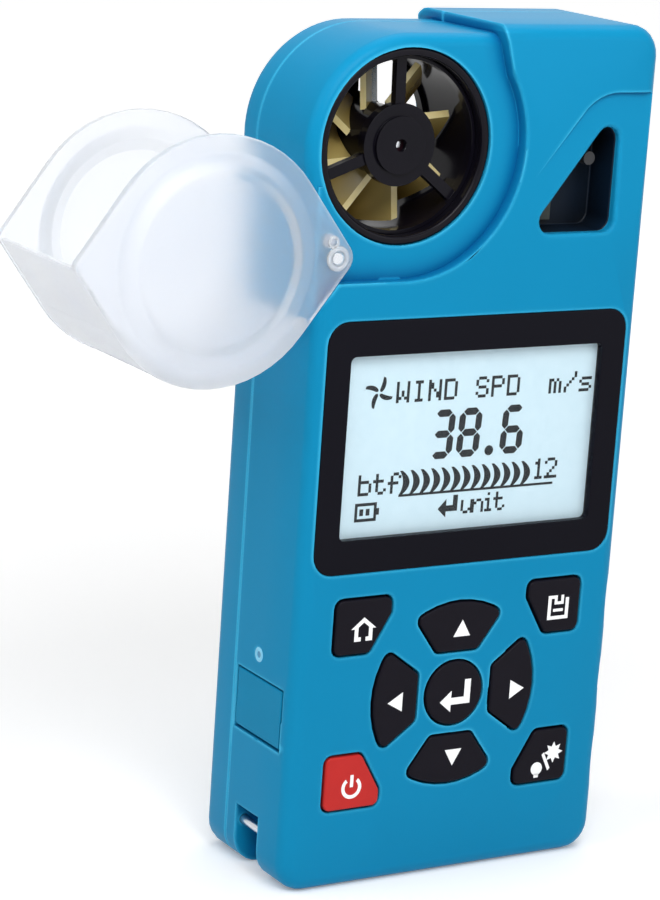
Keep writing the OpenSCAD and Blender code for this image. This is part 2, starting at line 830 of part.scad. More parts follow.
module flip_cap() {
    reach = cap_r + 4;
    color([0.9, 0.91, 0.96]) {
        cap_half();
        mirror([0, 1, 0]) cap_half();
        thumb_wall();
        difference() {
            intersection() {
                rod(pivot_x - cap_reach, pivot_z, cap_r - cap_rim, 0, case_d);
                slab(0, case_d) translate([pivot_x - cap_reach, pivot_z]) rotate(180) polygon(
                    concat([[0, 0]], [for (i = [0:8])
                        let(a = cap_wall_from + (cap_wall_to - cap_wall_from) * i / 8)
                        reach * [cos(a), sin(a)]]));
            }
            rod(pivot_x - cap_reach, pivot_z, cap_r - cap_rim - cap_wall, -1, case_d + 1);
        }
    }
}

module cap_pivot_pin() {
    color("#c8cace") rod(pivot_x, pivot_z, pivot_pin_r, -cap_proud, case_d + cap_proud);
}

module cap_detent() {
    color("#c8cace") rod(detent_x, detent_z, detent_r, recess - detent_rise, recess + detent_seat);
}

// --- display -------------------------------------------------------------------------

module window_outline(grow) {
    round_box(-window_w / 2 - grow, window_z - grow, window_w / 2 + grow,
        window_z + window_h + grow, 1);
}

module display_bezel() {
    color(soft_black) difference() {
        slab(0, bezel_t) bezel_outline(0);
        slab(-1, bezel_t + 1) window_outline(0);
    }
}

module display_pane() {
    color([0.85, 0.93, 0.96]) slab(bezel_t - pane_t, bezel_t) window_outline(-fit);
}

module display_glass() {
    color("#cfe3e6") slab(glass_depth, glass_depth + glass_t) glass_outline(0);
}

module display_backlight() {
    color("#f2f2ee") slab(glass_depth + glass_t, board_depth) glass_outline(-1);
}

module display_ribbon() {
    top = window_z - glass_lap - fit;
    color("#a8732a") block([-ribbon_w / 2, ribbon_w / 2], [glass_depth + glass_t / 2, board_depth],
        [top - ribbon_t, top]);
}

// --- electronics ---------------------------------------------------------------------

module corner_relief(grow) {
    translate([-case_w, -1])
        square([case_w - half_w + strap_reach + wall + grow, strap_h + wall + grow + 1]);
}

module main_board() {
    color("#1c6b3a") difference() {
        slab(board_depth, board_back) difference() {
            round_box(inner_left + flap_pad + 0.4, wall + 1, inner_right - gap, recess_z, 1.5);
            corner_relief(gap);
        }
        for (p = board_screws) rod(p[0], p[1], screw_r + fit, 0, case_d);
    }
}

module processor() {
    low = bezel_z + processor_w * 1.2;
    color("#202024") block([-processor_w / 2, processor_w / 2], [board_back, board_back + chip_t],
        [low, low + processor_w]);
}

module pressure_sensor() {
    left = half_w / 2 - pressure_w / 2;
    low = bezel_z + bezel_h - 2.5 * pressure_w;
    color("#c9ccd2") block([left, left + pressure_w], [board_back, board_back + chip_t],
        [low, low + pressure_w]);
}

module radio_module() {
    high = bezel_z + bezel_h - 3 * chip_t;
    color("#b7bac0") block([-half_w / 2 - radio_w / 2, -half_w / 2 + radio_w / 2],
        [board_back, board_back + 2 * chip_t], [high - radio_h, high]);
}

module buzzer() {
    color("#202024") difference() {
        rod(half_w * 0.55, bezel_z + bezel_h / 2, buzzer_r, board_back, board_back + buzzer_h);
        rod(half_w * 0.55, bezel_z + bezel_h / 2, buzzer_hole_r, board_back + buzzer_h / 2,
            board_back + buzzer_h + 1);
    }
}

// --- keys ----------------------------------------------------------------------------

key_names = ["enter_key", "up_key", "down_key", "left_key", "right_key", "home_key", "save_key",
    "power_key", "lamp_key"];

function arrow_turn(name) =
    name == "up_key" ? 0 : name == "left_key" ? 90 : name == "down_key" ? 180 : 270;

// Which side of the keypad a corner key is on: [across, up].
function corner_side(name) =
    [name == "home_key" || name == "power_key" ? -1 : 1,
     name == "home_key" || name == "save_key" ? 1 : -1];

// Arrow key pointing up: flat inner side, slanted sides and an outer side round the keypad's centre.
function arrow_points(grow) =
    let(
        a = 36,
        e = grow - 1.07,
        low = arrow_in - grow,
        r = arrow_out_r + grow,
        x0 = (e + sin(a) * low) / cos(a),
        t = sqrt(r * r - e * e),
        corner = [e * cos(a) + t * sin(a), t * cos(a) - e * sin(a)],
        span = atan2(corner[0], corner[1]),
        arc = [for (i = [-3:3]) let(b = -span * i / 4) r * [sin(b), cos(b)]],
        k = 1 + grow
    )
    rounded(
        concat([[-x0, low], [x0, low], corner], arc, [[-corner[0], corner[1]]]),
        [k, k, k, 0, 0, 0, 0, 0, 0, 0, k], 4);

// Corner key at the upper left of the keypad, with its inner corner cut off.
function corner_points(grow) =
    let(
        a = 30.3,
        w = corner_key_w / 2 + grow,
        h = corner_key_h / 2 + grow,
        cut = 0.34 * corner_key_w + grow,
        k = 1.2 + grow
    )
    rounded(
        [[-w, -h], [(cut - sin(a) * h) / cos(a), -h], [w, (cos(a) * w - cut) / sin(a)], [w, h],
         [-w, h]],
        [k, k, k, k, k], 4);

function is_corner(name) =
    name == "home_key" || name == "save_key" || name == "power_key" || name == "lamp_key";

function key_middle(name) =
    name == "enter_key" ? [0, keypad_z] :
    is_corner(name) ? [0, keypad_z] + [corner_side(name)[0] * corner_key_x,
        corner_side(name)[1] * corner_key_z] :
    let(a = arrow_turn(name), r = (arrow_in + arrow_out_r) / 2) [-r * sin(a), keypad_z + r * cos(a)];

module key_outline(name, grow) {
    side = corner_side(name);
    if (name == "enter_key")
        translate([0, keypad_z]) circle(enter_d / 2 + grow);
    else if (is_corner(name))
        translate(key_middle(name))
            polygon([for (p = corner_points(grow)) [-side[0] * p[0], side[1] * p[1]]]);
    else
        translate([0, keypad_z]) rotate(arrow_turn(name)) polygon(arrow_points(grow));
}

module key_hole(name) {
    slab(-1, wall + 1) key_outline(name, gap);
}

module key(name) {
    middle = key_middle(name);
    slab(-key_proud, key_flange_depth + eps) key_outline(name, 0);
    slab(key_flange_depth, key_flange_depth + flange_t) key_outline(name, key_flange);
    rod(middle[0], middle[1], stem_r, key_flange_depth, stem_end);
}

stem_r = 1.4;

module enter_key() {
    color(soft_black) key("enter_key");
}

module up_key() {
    color(soft_black) key("up_key");
}

module down_key() {
    color(soft_black) key("down_key");
}

module left_key() {
    color(soft_black) key("left_key");
}

module right_key() {
    color(soft_black) key("right_key");
}

module home_key() {
    color(soft_black) key("home_key");
}

module save_key() {
    color(soft_black) key("save_key");
}

module power_key() {
    color("#d8352f") key("power_key");
}

module lamp_key() {
    color(soft_black) key("lamp_key");
}

module dome_switches() {
    color("#c9ccd2") for (name = key_names)
        translate([key_middle(name)[0], front_y + board_depth, key_middle(name)[1]])
            rotate([90, 0, 0]) cylinder(r1 = 2.4, r2 = 1.4, h = switch_h);
}

module keypad_seal() {
    color("#3a3a40") difference() {
        slab(seal_depth, seal_depth + seal_t) difference() {
            round_box(inner_left + flap_pad + gap, wall + gap, inner_right - gap, bezel_z - 2, 2);
            corner_relief(gap);
        }
        for (name = key_names)
            rod(key_middle(name)[0], key_middle(name)[1], stem_r + gap, 0, case_d);
        for (p = low_screws) rod(p[0], p[1], post_r + gap, 0, case_d);
    }
}

// --- sensor bay ----------------------------------------------------------------------

module sensor_bay() {
    color(soft_black) difference() {
        union() {
            slab(wall, wall + 1) bay_outline(bay_wall + bay_flange);
            slab(wall, bay_depth + 1) bay_outline(bay_wall);
        }
        slab(0, bay_depth) bay_outline(0);
    }
}

module temperature_sensor() {
    color("#caa24a") {
        rod(thermistor_x, thermistor_z, thermistor_r, bay_depth - 4.4, bay_depth - 2.4);
        for (side = [-0.5, 0.5])
            rod(thermistor_x + side * thermistor_r, thermistor_z, thermistor_r / 4,
                bay_depth - 2.5, bay_depth);
    }
}

module humidity_sensor() {
    low = bay_bottom + humidity_w / 3;
    color("#f0f0ec") block([humidity_x, humidity_x + humidity_w], [bay_depth - 1.2, bay_depth],
        [low, low + humidity_w]);
}

// --- battery compartment -------------------------------------------------------------

module battery_tray() {
    color("#2a2a2e") difference() {
        block([-tray_w / 2, tray_w / 2], [tray_front, case_d - wall], [tray_z, tray_z + tray_h]);
        block([-tray_in_w / 2, tray_in_w / 2], [tray_front + tray_wall, case_d],
            [tray_in_z, tray_in_z + tray_in_h]);
    }
}

cell_x = cell_r + 0.3;

// Places children for the left cell, and turned end for end for the right one.
module each_cell() {
    middle = tray_in_z + tray_in_h / 2;
    for (side = [-1, 1])
        translate([side * cell_x, front_y + cell_depth, middle])
            rotate([0, side > 0 ? 180 : 0, 0]) translate([0, 0, -tray_in_h / 2]) children();
}

module batteries() {
    base = contact_t + fit + spring_len;
    color("#3d6f57") each_cell() {
        translate([0, 0, base]) cylinder(r = cell_r, h = cell_len);
        translate([0, 0, base + cell_len - eps]) cylinder(r = 1.9, h = button_h + eps);
    }
}

module battery_contacts() {
    color("#c9ccd2") each_cell() {
        for (low = [0, tray_in_h - contact_t])
            translate([-contact_w / 2, -contact_w / 2, low]) cube([contact_w, contact_w, contact_t]);
        difference() {
            translate([0, 0, contact_t - eps])
                cylinder(r1 = spring_r, r2 = spring_r - 1.2, h = spring_len + eps);
            translate([0, 0, contact_t])
                cylinder(r1 = spring_r - 0.6, r2 = spring_r - 1.8, h = spring_len + eps);
        }
    }
}

module door_opening() {
    block([-door_opening_w / 2, door_opening_w / 2], [case_d - wall - eps, case_d + 1],
        [door_hinge_z - barrel_r - gap, door_top + gap]);
}

module door_lug(side) {
    near = side * door_opening_w / 2;
    far = side * (door_pin_half + 0.8);
    block([min(near, far), max(near, far)], [case_d - wall - 1.2, case_d - wall + eps],
        [door_hinge_z - barrel_r - gap, door_hinge_z + barrel_r + gap]);
}

module battery_door() {
    color(case_blue) difference() {
        union() {
            block([-door_w / 2, door_w / 2], [case_d - door_t, case_d], [door_hinge_z, door_top]);
            cross_rod(-door_w / 2, door_w / 2, barrel_depth, door_hinge_z, barrel_r);
        }
        cross_rod(-door_w, door_w, barrel_depth, door_hinge_z, door_pin_r + run);
        rod(0, door_screw_z, screw_r + fit, case_d - 3, case_d + 1);
        rod(0, door_screw_z, screw_head_r + fit, case_d - 0.8, case_d + 1);
    }
}

module door_hinge_pin() {
    color("#c8cace") cross_rod(-door_pin_half + 0.1, door_pin_half - 0.1, barrel_depth,
        door_hinge_z, door_pin_r);
}

module door_screw() {
    head = case_d - 0.8;
    color("#b9bcc2") difference() {
        union() {
            rod(0, door_screw_z, screw_r, split_depth + 1.4, head + eps);
            rod(0, door_screw_z, screw_head_r, head, case_d);
        }
        block([-screw_head_r - 1, screw_head_r + 1], [case_d - 0.4, case_d + 1],
            [door_screw_z - 0.35, door_screw_z + 0.35]);
    }
}

// --- side and rear fittings ----------------------------------------------------------

module tripod_bush() {
    color("#c9a24b") difference() {
        rod(0, tripod_z, bush_r, case_d - tripod_len, case_d);
        rod(0, tripod_z, tripod_r, case_d - tripod_len + 0.8, case_d + 1);
    }
}

module strap_bar() {
    color("#c8cace") rod(strap_bar_x, strap_bar_z, strap_bar_r, strap_depth - strap_bar_hold + fit,
        strap_depth + strap_w + strap_bar_hold - fit);
}

module flap_pocket() {
    block([-half_w - 1, flap_hinge_x + flap_barrel_r + gap],
        [flap_depth - gap, flap_depth + flap_w + gap], [flap_z - gap, flap_z + flap_h + gap]);
    block([-half_w, inner_left + 3],
        [board_back + port_wall, board_back + port_t - port_wall],
        [port_z - port_w / 2 + port_wall, port_z + port_w / 2 - port_wall]);
    rod(flap_hinge_x, flap_hinge_z, flap_pin_r + fit, flap_depth - 1.2, flap_depth + flap_w + 0.6);
}

module port_flap() {
    edge = gap + port_wall;
    color("#0f6f96") difference() {
        union() {
            block([-half_w, -half_w + flap_t], [flap_depth, flap_depth + flap_w],
                [flap_hinge_z, flap_z + flap_h]);
            rod(flap_hinge_x, flap_hinge_z, flap_barrel_r, flap_depth, flap_depth + flap_w);
            block([-half_w + flap_t - eps, inner_left + flap_pad - 0.4],
                [board_back + edge, board_back + port_t - edge],
                [port_z - port_w / 2 + edge, port_z + port_w / 2 - edge - 0.6]);
        }
        rod(flap_hinge_x, flap_hinge_z, flap_pin_r + run, 0, case_d);
    }
}

module flap_pin() {
    color("#c8cace") rod(flap_hinge_x, flap_hinge_z, flap_pin_r, flap_depth - 1.1,
        flap_depth + flap_w + 0.5);
}

module charging_port() {
    left = inner_left + flap_pad + 0.05;
    color("#c8cace") difference() {
        block([left, left + 7], [board_back, board_back + port_t],
            [port_z - port_w / 2, port_z + port_w / 2]);
        block([left - 1, left + 6], [board_back + port_wall, board_back + port_t - port_wall],
            [port_z - port_w / 2 + port_wall, port_z + port_w / 2 - port_wall]);
    }
}

module charging_lamp() {
    color("#bfe6f5") {
        cross_rod(-half_w, inner_left + 1, lamp_depth, lamp_z, lamp_r);
        block([inner_left + 1, inner_left + 4], [board_back, board_back + 3.2],
            [lamp_z - 1.5, lamp_z + 1.5]);
    }
}

front_shell();
rear_shell();
case_gasket();
case_screws();
impeller_duct();
front_bridge();
rear_bridge();
rotor();
rotor_shaft();
jewel_bearings();
rotor_magnets();
hall_sensor();
flip_cap();
cap_pivot_pin();
cap_detent();
display_bezel();
display_pane();
display_glass();
display_backlight();
display_ribbon();
main_board();
dome_switches();
keypad_seal();
enter_key();
up_key();
down_key();
left_key();
right_key();
home_key();
save_key();
power_key();
lamp_key();
processor();
pressure_sensor();
radio_module();
buzzer();
sensor_bay();
temperature_sensor();
humidity_sensor();
battery_tray();
batteries();
battery_contacts();
battery_door();
door_hinge_pin();
door_screw();
tripod_bush();
strap_bar();
port_flap();
flap_pin();
charging_port();
charging_lamp();
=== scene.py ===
import bpy
import bmesh
import json
import math
import numpy as np
from mathutils import Matrix, Vector

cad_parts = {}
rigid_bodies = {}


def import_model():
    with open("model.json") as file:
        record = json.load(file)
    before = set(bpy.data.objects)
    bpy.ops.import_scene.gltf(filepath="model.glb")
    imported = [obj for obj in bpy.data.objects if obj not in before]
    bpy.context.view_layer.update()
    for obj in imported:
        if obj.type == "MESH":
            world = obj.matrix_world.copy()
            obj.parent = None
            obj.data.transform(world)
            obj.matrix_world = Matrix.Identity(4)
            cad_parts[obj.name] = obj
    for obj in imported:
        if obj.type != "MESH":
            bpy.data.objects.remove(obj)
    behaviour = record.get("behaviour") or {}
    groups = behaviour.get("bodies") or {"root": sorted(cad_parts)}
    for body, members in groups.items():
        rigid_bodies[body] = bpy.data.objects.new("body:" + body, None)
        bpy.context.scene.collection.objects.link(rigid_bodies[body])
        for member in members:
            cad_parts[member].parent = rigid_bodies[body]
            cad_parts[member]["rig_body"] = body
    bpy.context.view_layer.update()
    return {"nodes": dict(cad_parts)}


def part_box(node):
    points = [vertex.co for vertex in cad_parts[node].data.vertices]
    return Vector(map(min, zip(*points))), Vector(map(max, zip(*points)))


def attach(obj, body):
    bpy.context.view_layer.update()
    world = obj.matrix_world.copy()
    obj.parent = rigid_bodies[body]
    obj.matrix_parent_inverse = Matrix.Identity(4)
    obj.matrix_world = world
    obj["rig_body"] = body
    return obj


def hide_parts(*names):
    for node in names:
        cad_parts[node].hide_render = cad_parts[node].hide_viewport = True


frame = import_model()
nodes = frame["nodes"]
mm = 0.001
print("frame loaded:", len(nodes), "nodes")


# Lowest and highest corners of a CAD node, in millimetres.
def boxOf(node):
    low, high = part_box(node)
    return np.array(low) / mm, np.array(high) / mm


# The middle of a CAD node's box: half the sum of its two corners.
def middleOf(node):
    return np.mean(boxOf(node), axis=0)


faceY = boxOf("front_shell")[0][1]  # front face of the case
ductLow, ductHigh = boxOf("impeller_duct")
ductMiddle = middleOf("impeller_duct")
ductR = (ductHigh[0] - ductLow[0]) / 2
hinge = middleOf("cap_pivot_pin")
# the cap's own axis stands as far from its hinge as the duct's middle does
capCentreX = hinge[0] - math.hypot(ductMiddle[0] - hinge[0], ductMiddle[2] - hinge[2])


# sRGB hex to linear: below 0.04045 divide by 12.92, above it ((c + 0.055) / 1.055) to the power 2.4.
def linear(hexText):
    c = np.array([int(hexText[i:i + 2], 16) / 255 for i in (1, 3, 5)])
    return (*np.where(c <= 0.04045, c / 12.92, ((c + 0.055) / 1.055) ** 2.4), 1.0)


# Adds one node; a setting is an input's name or number, or a property of the node.
def addNode(tree, kind, settings, links=None):
    made = tree.nodes.new(kind)
    for name, value in settings.items():
        if isinstance(name, int) or name in made.inputs:
            made.inputs[name].default_value = value
        else:
            setattr(made, name, value)
    for name, source in (links or {}).items():
        tree.links.new(source, made.inputs[name])
    return made


# The settings of a mix that goes from one colour to another.
def between(first, second):
    return {"data_type": "RGBA", 6: linear(first), 7: linear(second)}


# An empty material, its node tree, and the piece's own coordinates in it.
def newMaterial(name):
    material = bpy.data.materials.new(name)
    material.use_nodes = True
    tree = material.node_tree
    tree.nodes.clear()
    return material, tree, addNode(tree, "ShaderNodeTexCoord", {}).outputs["Object"]


# A pattern's height swings the roughness about the look's own and drives a bump, which rises by a size in mm.
def finishMaterial(tree, look, tint, height, bite):
    rough = addNode(tree, "ShaderNodeMapRange", {"To Min": look["rough"] - look["swing"],
                                                 "To Max": look["rough"] + look["swing"]}, {"Value": height})
    bump = addNode(tree, "ShaderNodeBump", {"Strength": bite, "Distance": look["rise"] * mm},
                   {"Height": height})
    shader = addNode(tree, "ShaderNodeBsdfPrincipled", look["sockets"],
                     {"Base Color": tint, "Roughness": rough.outputs[0], "Normal": bump.outputs[0]})
    out = addNode(tree, "ShaderNodeOutputMaterial", {})
    tree.links.new(shader.outputs[0], out.inputs[0])


# how open a place is, as the share of short rays that meet nothing: a corner's painted shade starts at open,
# and an outer edge, measured from inside the wall, has its painted highlight in full at thin
openness = {"rays": 6, "open": 0.9, "thin": 0.5}


# Moulded skin: fine grain drives bump and gloss, and wide flow marks shift the colour a little. A darker
# corner colour paints in shade where the surface folds in on itself, and a paler colour paints in a highlight
# along its outer edges.
def mouldedSkin(name, look):
    material, tree, place = newMaterial(name)
    grain = addNode(tree, "ShaderNodeTexNoise",
                    {"Scale": 1 / (look["grain"] * mm), "Detail": 3.0, "Roughness": 0.55}, {"Vector": place})
    flow = addNode(tree, "ShaderNodeTexNoise", {"Scale": 1 / (look["flow"] * mm), "Detail": 2.0},
                   {"Vector": place})
    tint = addNode(tree, "ShaderNodeMix", between(look["colour"], look["shade"]),
                   {0: flow.outputs[0]}).outputs[2]
    if "corner" in look:
        # painted shade: the corner colour darkens the skin where ambient occlusion finds it hemmed in
        fold = addNode(tree, "ShaderNodeAmbientOcclusion",
                       {"samples": openness["rays"], "only_local": True, "Distance": look["reach"] * mm})
        deep = addNode(tree, "ShaderNodeMapRange", {"From Min": openness["open"], "From Max": look["full"]},
                       {"Value": fold.outputs["AO"]})
        tint = addNode(tree, "ShaderNodeMix", {"data_type": "RGBA", 7: linear(look["corner"])},
                       {0: deep.outputs[0], 6: tint}).outputs[2]
    if "paintedHighlight" in look:
        # painted highlight: the paler colour lightens the skin along outer edges, found by ambient occlusion
        # from inside
        edge = addNode(tree, "ShaderNodeAmbientOcclusion",
                       {"samples": openness["rays"], "inside": True, "only_local": True,
                        "Distance": look["ridgeReach"] * mm})
        paintedHighlightMix = addNode(tree, "ShaderNodeMapRange",
                       {"From Min": openness["open"], "From Max": openness["thin"],
                        "To Max": look["ridgeShare"]}, {"Value": edge.outputs["AO"]})
        tint = addNode(tree, "ShaderNodeMix", {"data_type": "RGBA", 7: linear(look["paintedHighlight"])},
                       {0: paintedHighlightMix.outputs[0], 6: tint}).outputs[2]
    finishMaterial(tree, look, tint, grain.outputs[0], look.get("bite", 0.5))
    return material


# Turned or rolled metal: a wave of fine tool lines along one axis, broken up by noise.
def turnedMetal(name, look):
    material, tree, place = newMaterial(name)
    lines = addNode(tree, "ShaderNodeTexWave",
                    {"wave_type": "BANDS", "bands_direction": look["along"], "Distortion": 2.0, "Detail": 2.0,
                     "Scale": 1 / (look["pitch"] * mm * 2 * math.pi)}, {"Vector": place})
    stain = addNode(tree, "ShaderNodeTexNoise", {"Scale": 1 / (look["flow"] * mm), "Detail": 4.0},
                    {"Vector": place})
    tint = addNode(tree, "ShaderNodeMix", between(look["colour"], look["shade"]), {0: stain.outputs[0]})
    finishMaterial(tree, look, tint.outputs[2], lines.outputs[1], look.get("bite", 0.3))
    return material


# Tinted clear plastic: its own tint, with a painted shade from pale at the front to darker towards the back.
def tintedPlasticWithPaintedShade(name, look):
    material, tree, place = newMaterial(name)
    depth = addNode(tree, "ShaderNodeSeparateXYZ", {}, {0: place})
    # painted shade: the colour darkens with depth from the front to the back
    share = addNode(tree, "ShaderNodeMapRange", {"From Min": look["from"] * mm, "From Max": look["to"] * mm},
                    {"Value": depth.outputs[1]})
    grain = addNode(tree, "ShaderNodeTexNoise", {"Scale": 1 / (look["grain"] * mm), "Detail": 2.0},
                    {"Vector": place})
    tint = addNode(tree, "ShaderNodeMix", between(look["colour"], look["shade"]), {0: share.outputs[0]})
    finishMaterial(tree, look, tint.outputs[2], grain.outputs[0], look.get("bite", 0.2))
    return material


# colours are sRGB; grain, rise, flow, pitch and reach are in mm
rotorFrontY, rotorBackY = boxOf("rotor")[0][1], boxOf("rotor")[1][1]
# Blue ABS, injection moulded in a spark-eroded tool: an even satin skin, with a painted shade in dark navy
# in its corners and a painted highlight in pale cyan along its outer edges.
caseAbs = mouldedSkin("caseAbs", {
    "colour": "#0f8bba", "shade": "#0e86b3", "corner": "#06508c", "reach": 3.8, "full": 0.4,
    "paintedHighlight": "#45bfe8", "ridgeReach": 0.7, "ridgeShare": 0.8, "rough": 0.34, "swing": 0.05,
    "grain": 0.35, "rise": 0.012, "flow": 30, "bite": 0.35,
    "sockets": {"IOR": 1.53, "Specular IOR Level": 0.05}})
# Black ABS from a polished tool: nearly black, with sharp dim reflections.
glossAbs = mouldedSkin("glossAbs", {
    "colour": "#0a0a11", "shade": "#110e17", "rough": 0.17, "swing": 0.05, "grain": 0.5, "rise": 0.008,
    "flow": 12, "bite": 0.3, "sockets": {"IOR": 1.53, "Specular IOR Level": 0.1}})
# Black ABS with a navy cast, eroded: the walls of a pocket, matt so that it stays dark. The navy-black is
# partly the walls' own colour and partly painted shade, and its corners get a near-black painted shade.
pocketAbs = mouldedSkin("pocketAbs", {
    "colour": "#071829", "shade": "#0a1d30", "corner": "#02060d", "reach": 7.0, "full": 0.3,
    "rough": 0.5, "swing": 0.08, "grain": 0.4, "rise": 0.02, "flow": 9,
    "sockets": {"IOR": 1.5, "Specular IOR Level": 0.2}})
# Glass-filled nylon, moulded: matt black, for the tray out of sight.
mattNylon = mouldedSkin("mattNylon", {
    "colour": "#131317", "shade": "#19191d", "rough": 0.6, "swing": 0.08, "grain": 0.4, "rise": 0.02,
    "flow": 9, "sockets": {"IOR": 1.52}})
# Acrylic lens plate, black on its face: flat and glossy with a trace of moulding ripple.
bezelAcrylic = mouldedSkin("bezelAcrylic", {
    "colour": "#0f0f17", "shade": "#13121a", "rough": 0.14, "swing": 0.03, "grain": 2.5, "rise": 0.01,
    "flow": 22, "bite": 0.25, "sockets": {"IOR": 1.49, "Specular IOR Level": 0.05}})
# Silicone rubber, compression moulded: soft black with a broad faint sheen.
keySilicone = mouldedSkin("keySilicone", {
    "colour": "#100e16", "shade": "#15121b", "rough": 0.42, "swing": 0.1, "grain": 0.22, "rise": 0.014,
    "flow": 5, "sockets": {"IOR": 1.43, "Specular IOR Level": 0.1}})
# The same silicone in red: bright, with the same soft skin.
powerSilicone = mouldedSkin("powerSilicone", {
    "colour": "#cb2a26", "shade": "#bd2421", "rough": 0.42, "swing": 0.08, "grain": 0.22, "rise": 0.014,
    "flow": 5, "sockets": {"IOR": 1.43, "Specular IOR Level": 0.25}})
# EPDM seal rubber, extruded: matt dark grey.
sealRubber = mouldedSkin("sealRubber", {
    "colour": "#2c2c31", "shade": "#26262a", "rough": 0.7, "swing": 0.08, "grain": 0.3, "rise": 0.02,
    "flow": 8, "sockets": {"IOR": 1.5}})
# Thermoplastic elastomer flap, moulded in the case colour: greener and more matt than the ABS round it.
flapElastomer = mouldedSkin("flapElastomer", {
    "colour": "#0e87b3", "shade": "#0d82ac", "rough": 0.55, "swing": 0.08, "grain": 0.3, "rise": 0.02,
    "flow": 7, "sockets": {"IOR": 1.5, "Specular IOR Level": 0.08}})
# Smoke-tinted polycarbonate blades, and a little light comes through: their straw and olive-brown tint is
# their own, and its going from pale at the front to dark at the back is painted shade.
bladeSmoke = tintedPlasticWithPaintedShade("bladeSmoke", {
    "colour": "#d9c47c", "shade": "#7d5f16", "from": rotorFrontY, "to": rotorBackY, "rough": 0.22,
    "swing": 0.05, "grain": 0.6, "rise": 0.006, "sockets": {"IOR": 1.58, "Transmission Weight": 0.25}})
# The cut front edges of the same blades: pale cream, a painted highlight for the light that they catch.
bladeEdgePaintedHighlight = mouldedSkin("bladeEdgePaintedHighlight", {
    "colour": "#efe3b0", "shade": "#dcc67c", "rough": 0.3, "swing": 0.05, "grain": 0.6, "rise": 0.006,
    "flow": 2, "bite": 0.2, "sockets": {"IOR": 1.58}})
# Clear polycarbonate, moulded: the flat rim of the cap, hazy from handling.
capClear = mouldedSkin("capClear", {
    "colour": "#fafcff", "shade": "#f5f8fe", "rough": 0.34, "swing": 0.05, "grain": 1.2, "rise": 0.008,
    "flow": 14, "bite": 0.25,
    "sockets": {"IOR": 1.45, "Transmission Weight": 0.91, "Specular IOR Level": 0.25}})
# The same polycarbonate from an eroded part of the tool: the frosted middle blurs what is behind it.
capFrosted = mouldedSkin("capFrosted", {
    "colour": "#e6eef9", "shade": "#e0eaf6", "rough": 0.5, "swing": 0.05, "grain": 0.35, "rise": 0.01,
    "flow": 14, "bite": 0.3,
    "sockets": {"IOR": 1.45, "Transmission Weight": 0.94, "Specular IOR Level": 0.2}})
# The cap's wall, drawn out of the tool: milky with fine drag lines.
capWall = mouldedSkin("capWall", {
    "colour": "#feffff", "shade": "#f8faff", "rough": 0.55, "swing": 0.08, "grain": 0.8, "rise": 0.01,
    "flow": 10, "bite": 0.3,
    "sockets": {"IOR": 1.42, "Transmission Weight": 0.7, "Specular IOR Level": 0.25}})
# Cast acrylic pane: clear, seen only by its faint reflection.
paneAcrylic = mouldedSkin("paneAcrylic", {
    "colour": "#f4fbff", "shade": "#eef8ff", "rough": 0.05, "swing": 0.02, "grain": 3.0, "rise": 0.004,
    "flow": 20, "bite": 0.1, "sockets": {"IOR": 1.49, "Alpha": 0.02, "Specular IOR Level": 0.2}})
# Reflective liquid crystal glass: an even pale blue, faintly mottled by the reflector behind it.
crystalGlass = mouldedSkin("crystalGlass", {
    "colour": "#cbe6f2", "shade": "#d6effa", "rough": 0.4, "swing": 0.04, "grain": 0.5, "rise": 0.004,
    "flow": 1.6, "bite": 0.2, "sockets": {"IOR": 1.5, "Specular IOR Level": 0.2}})
# Liquid crystal segments that are on: flat near-black with a blue cast.
crystalInk = mouldedSkin("crystalInk", {
    "colour": "#05090d", "shade": "#0b1218", "rough": 0.5, "swing": 0.08, "grain": 0.2, "rise": 0.004,
    "flow": 2, "sockets": {"IOR": 1.5, "Specular IOR Level": 0.1}})
# White ink, screen printed on silicone and fired: dense white with a slightly dry surface. The trace of
# glow keeps it white on a key that turns from the lamps.
keyInk = mouldedSkin("keyInk", {
    "colour": "#ffffff", "shade": "#f6f8fa", "rough": 0.5, "swing": 0.08, "grain": 0.15, "rise": 0.006,
    "flow": 1.5, "sockets": {"IOR": 1.5, "Emission Color": linear("#ffffff"), "Emission Strength": 0.06}})
# Acrylic light guide behind the display: milky white.
guideAcrylic = mouldedSkin("guideAcrylic", {
    "colour": "#f2f6f6", "shade": "#e8efef", "rough": 0.3, "swing": 0.06, "grain": 0.8, "rise": 0.01,
    "flow": 8, "sockets": {"IOR": 1.49, "Subsurface Weight": 0.1}})
# Glass-epoxy board with green mask: a fine weave under a glossy coat.
boardEpoxy = mouldedSkin("boardEpoxy", {
    "colour": "#12603a", "shade": "#0f5232", "rough": 0.32, "swing": 0.08, "grain": 0.5, "rise": 0.02,
    "flow": 3, "sockets": {"IOR": 1.55, "Coat Weight": 0.4}})
# Polyimide flexible ribbon: amber film with a soft shine.
ribbonFilm = mouldedSkin("ribbonFilm", {
    "colour": "#b06a1c", "shade": "#a05c14", "rough": 0.3, "swing": 0.06, "grain": 0.6, "rise": 0.01,
    "flow": 4, "sockets": {"IOR": 1.6}})
# Epoxy chip packages, transfer moulded: matt charcoal with a fine tooth.
chipEpoxy = mouldedSkin("chipEpoxy", {
    "colour": "#1c1c1f", "shade": "#242427", "rough": 0.6, "swing": 0.1, "grain": 0.2, "rise": 0.02,
    "flow": 2, "sockets": {"IOR": 1.55}})
# Sintered sensor body: grey-green ceramic, dry and slightly speckled.
sensorCeramic = mouldedSkin("sensorCeramic", {
    "colour": "#39423c", "shade": "#2c332e", "rough": 0.65, "swing": 0.1, "grain": 0.25, "rise": 0.02,
    "flow": 1, "sockets": {"IOR": 1.6}})
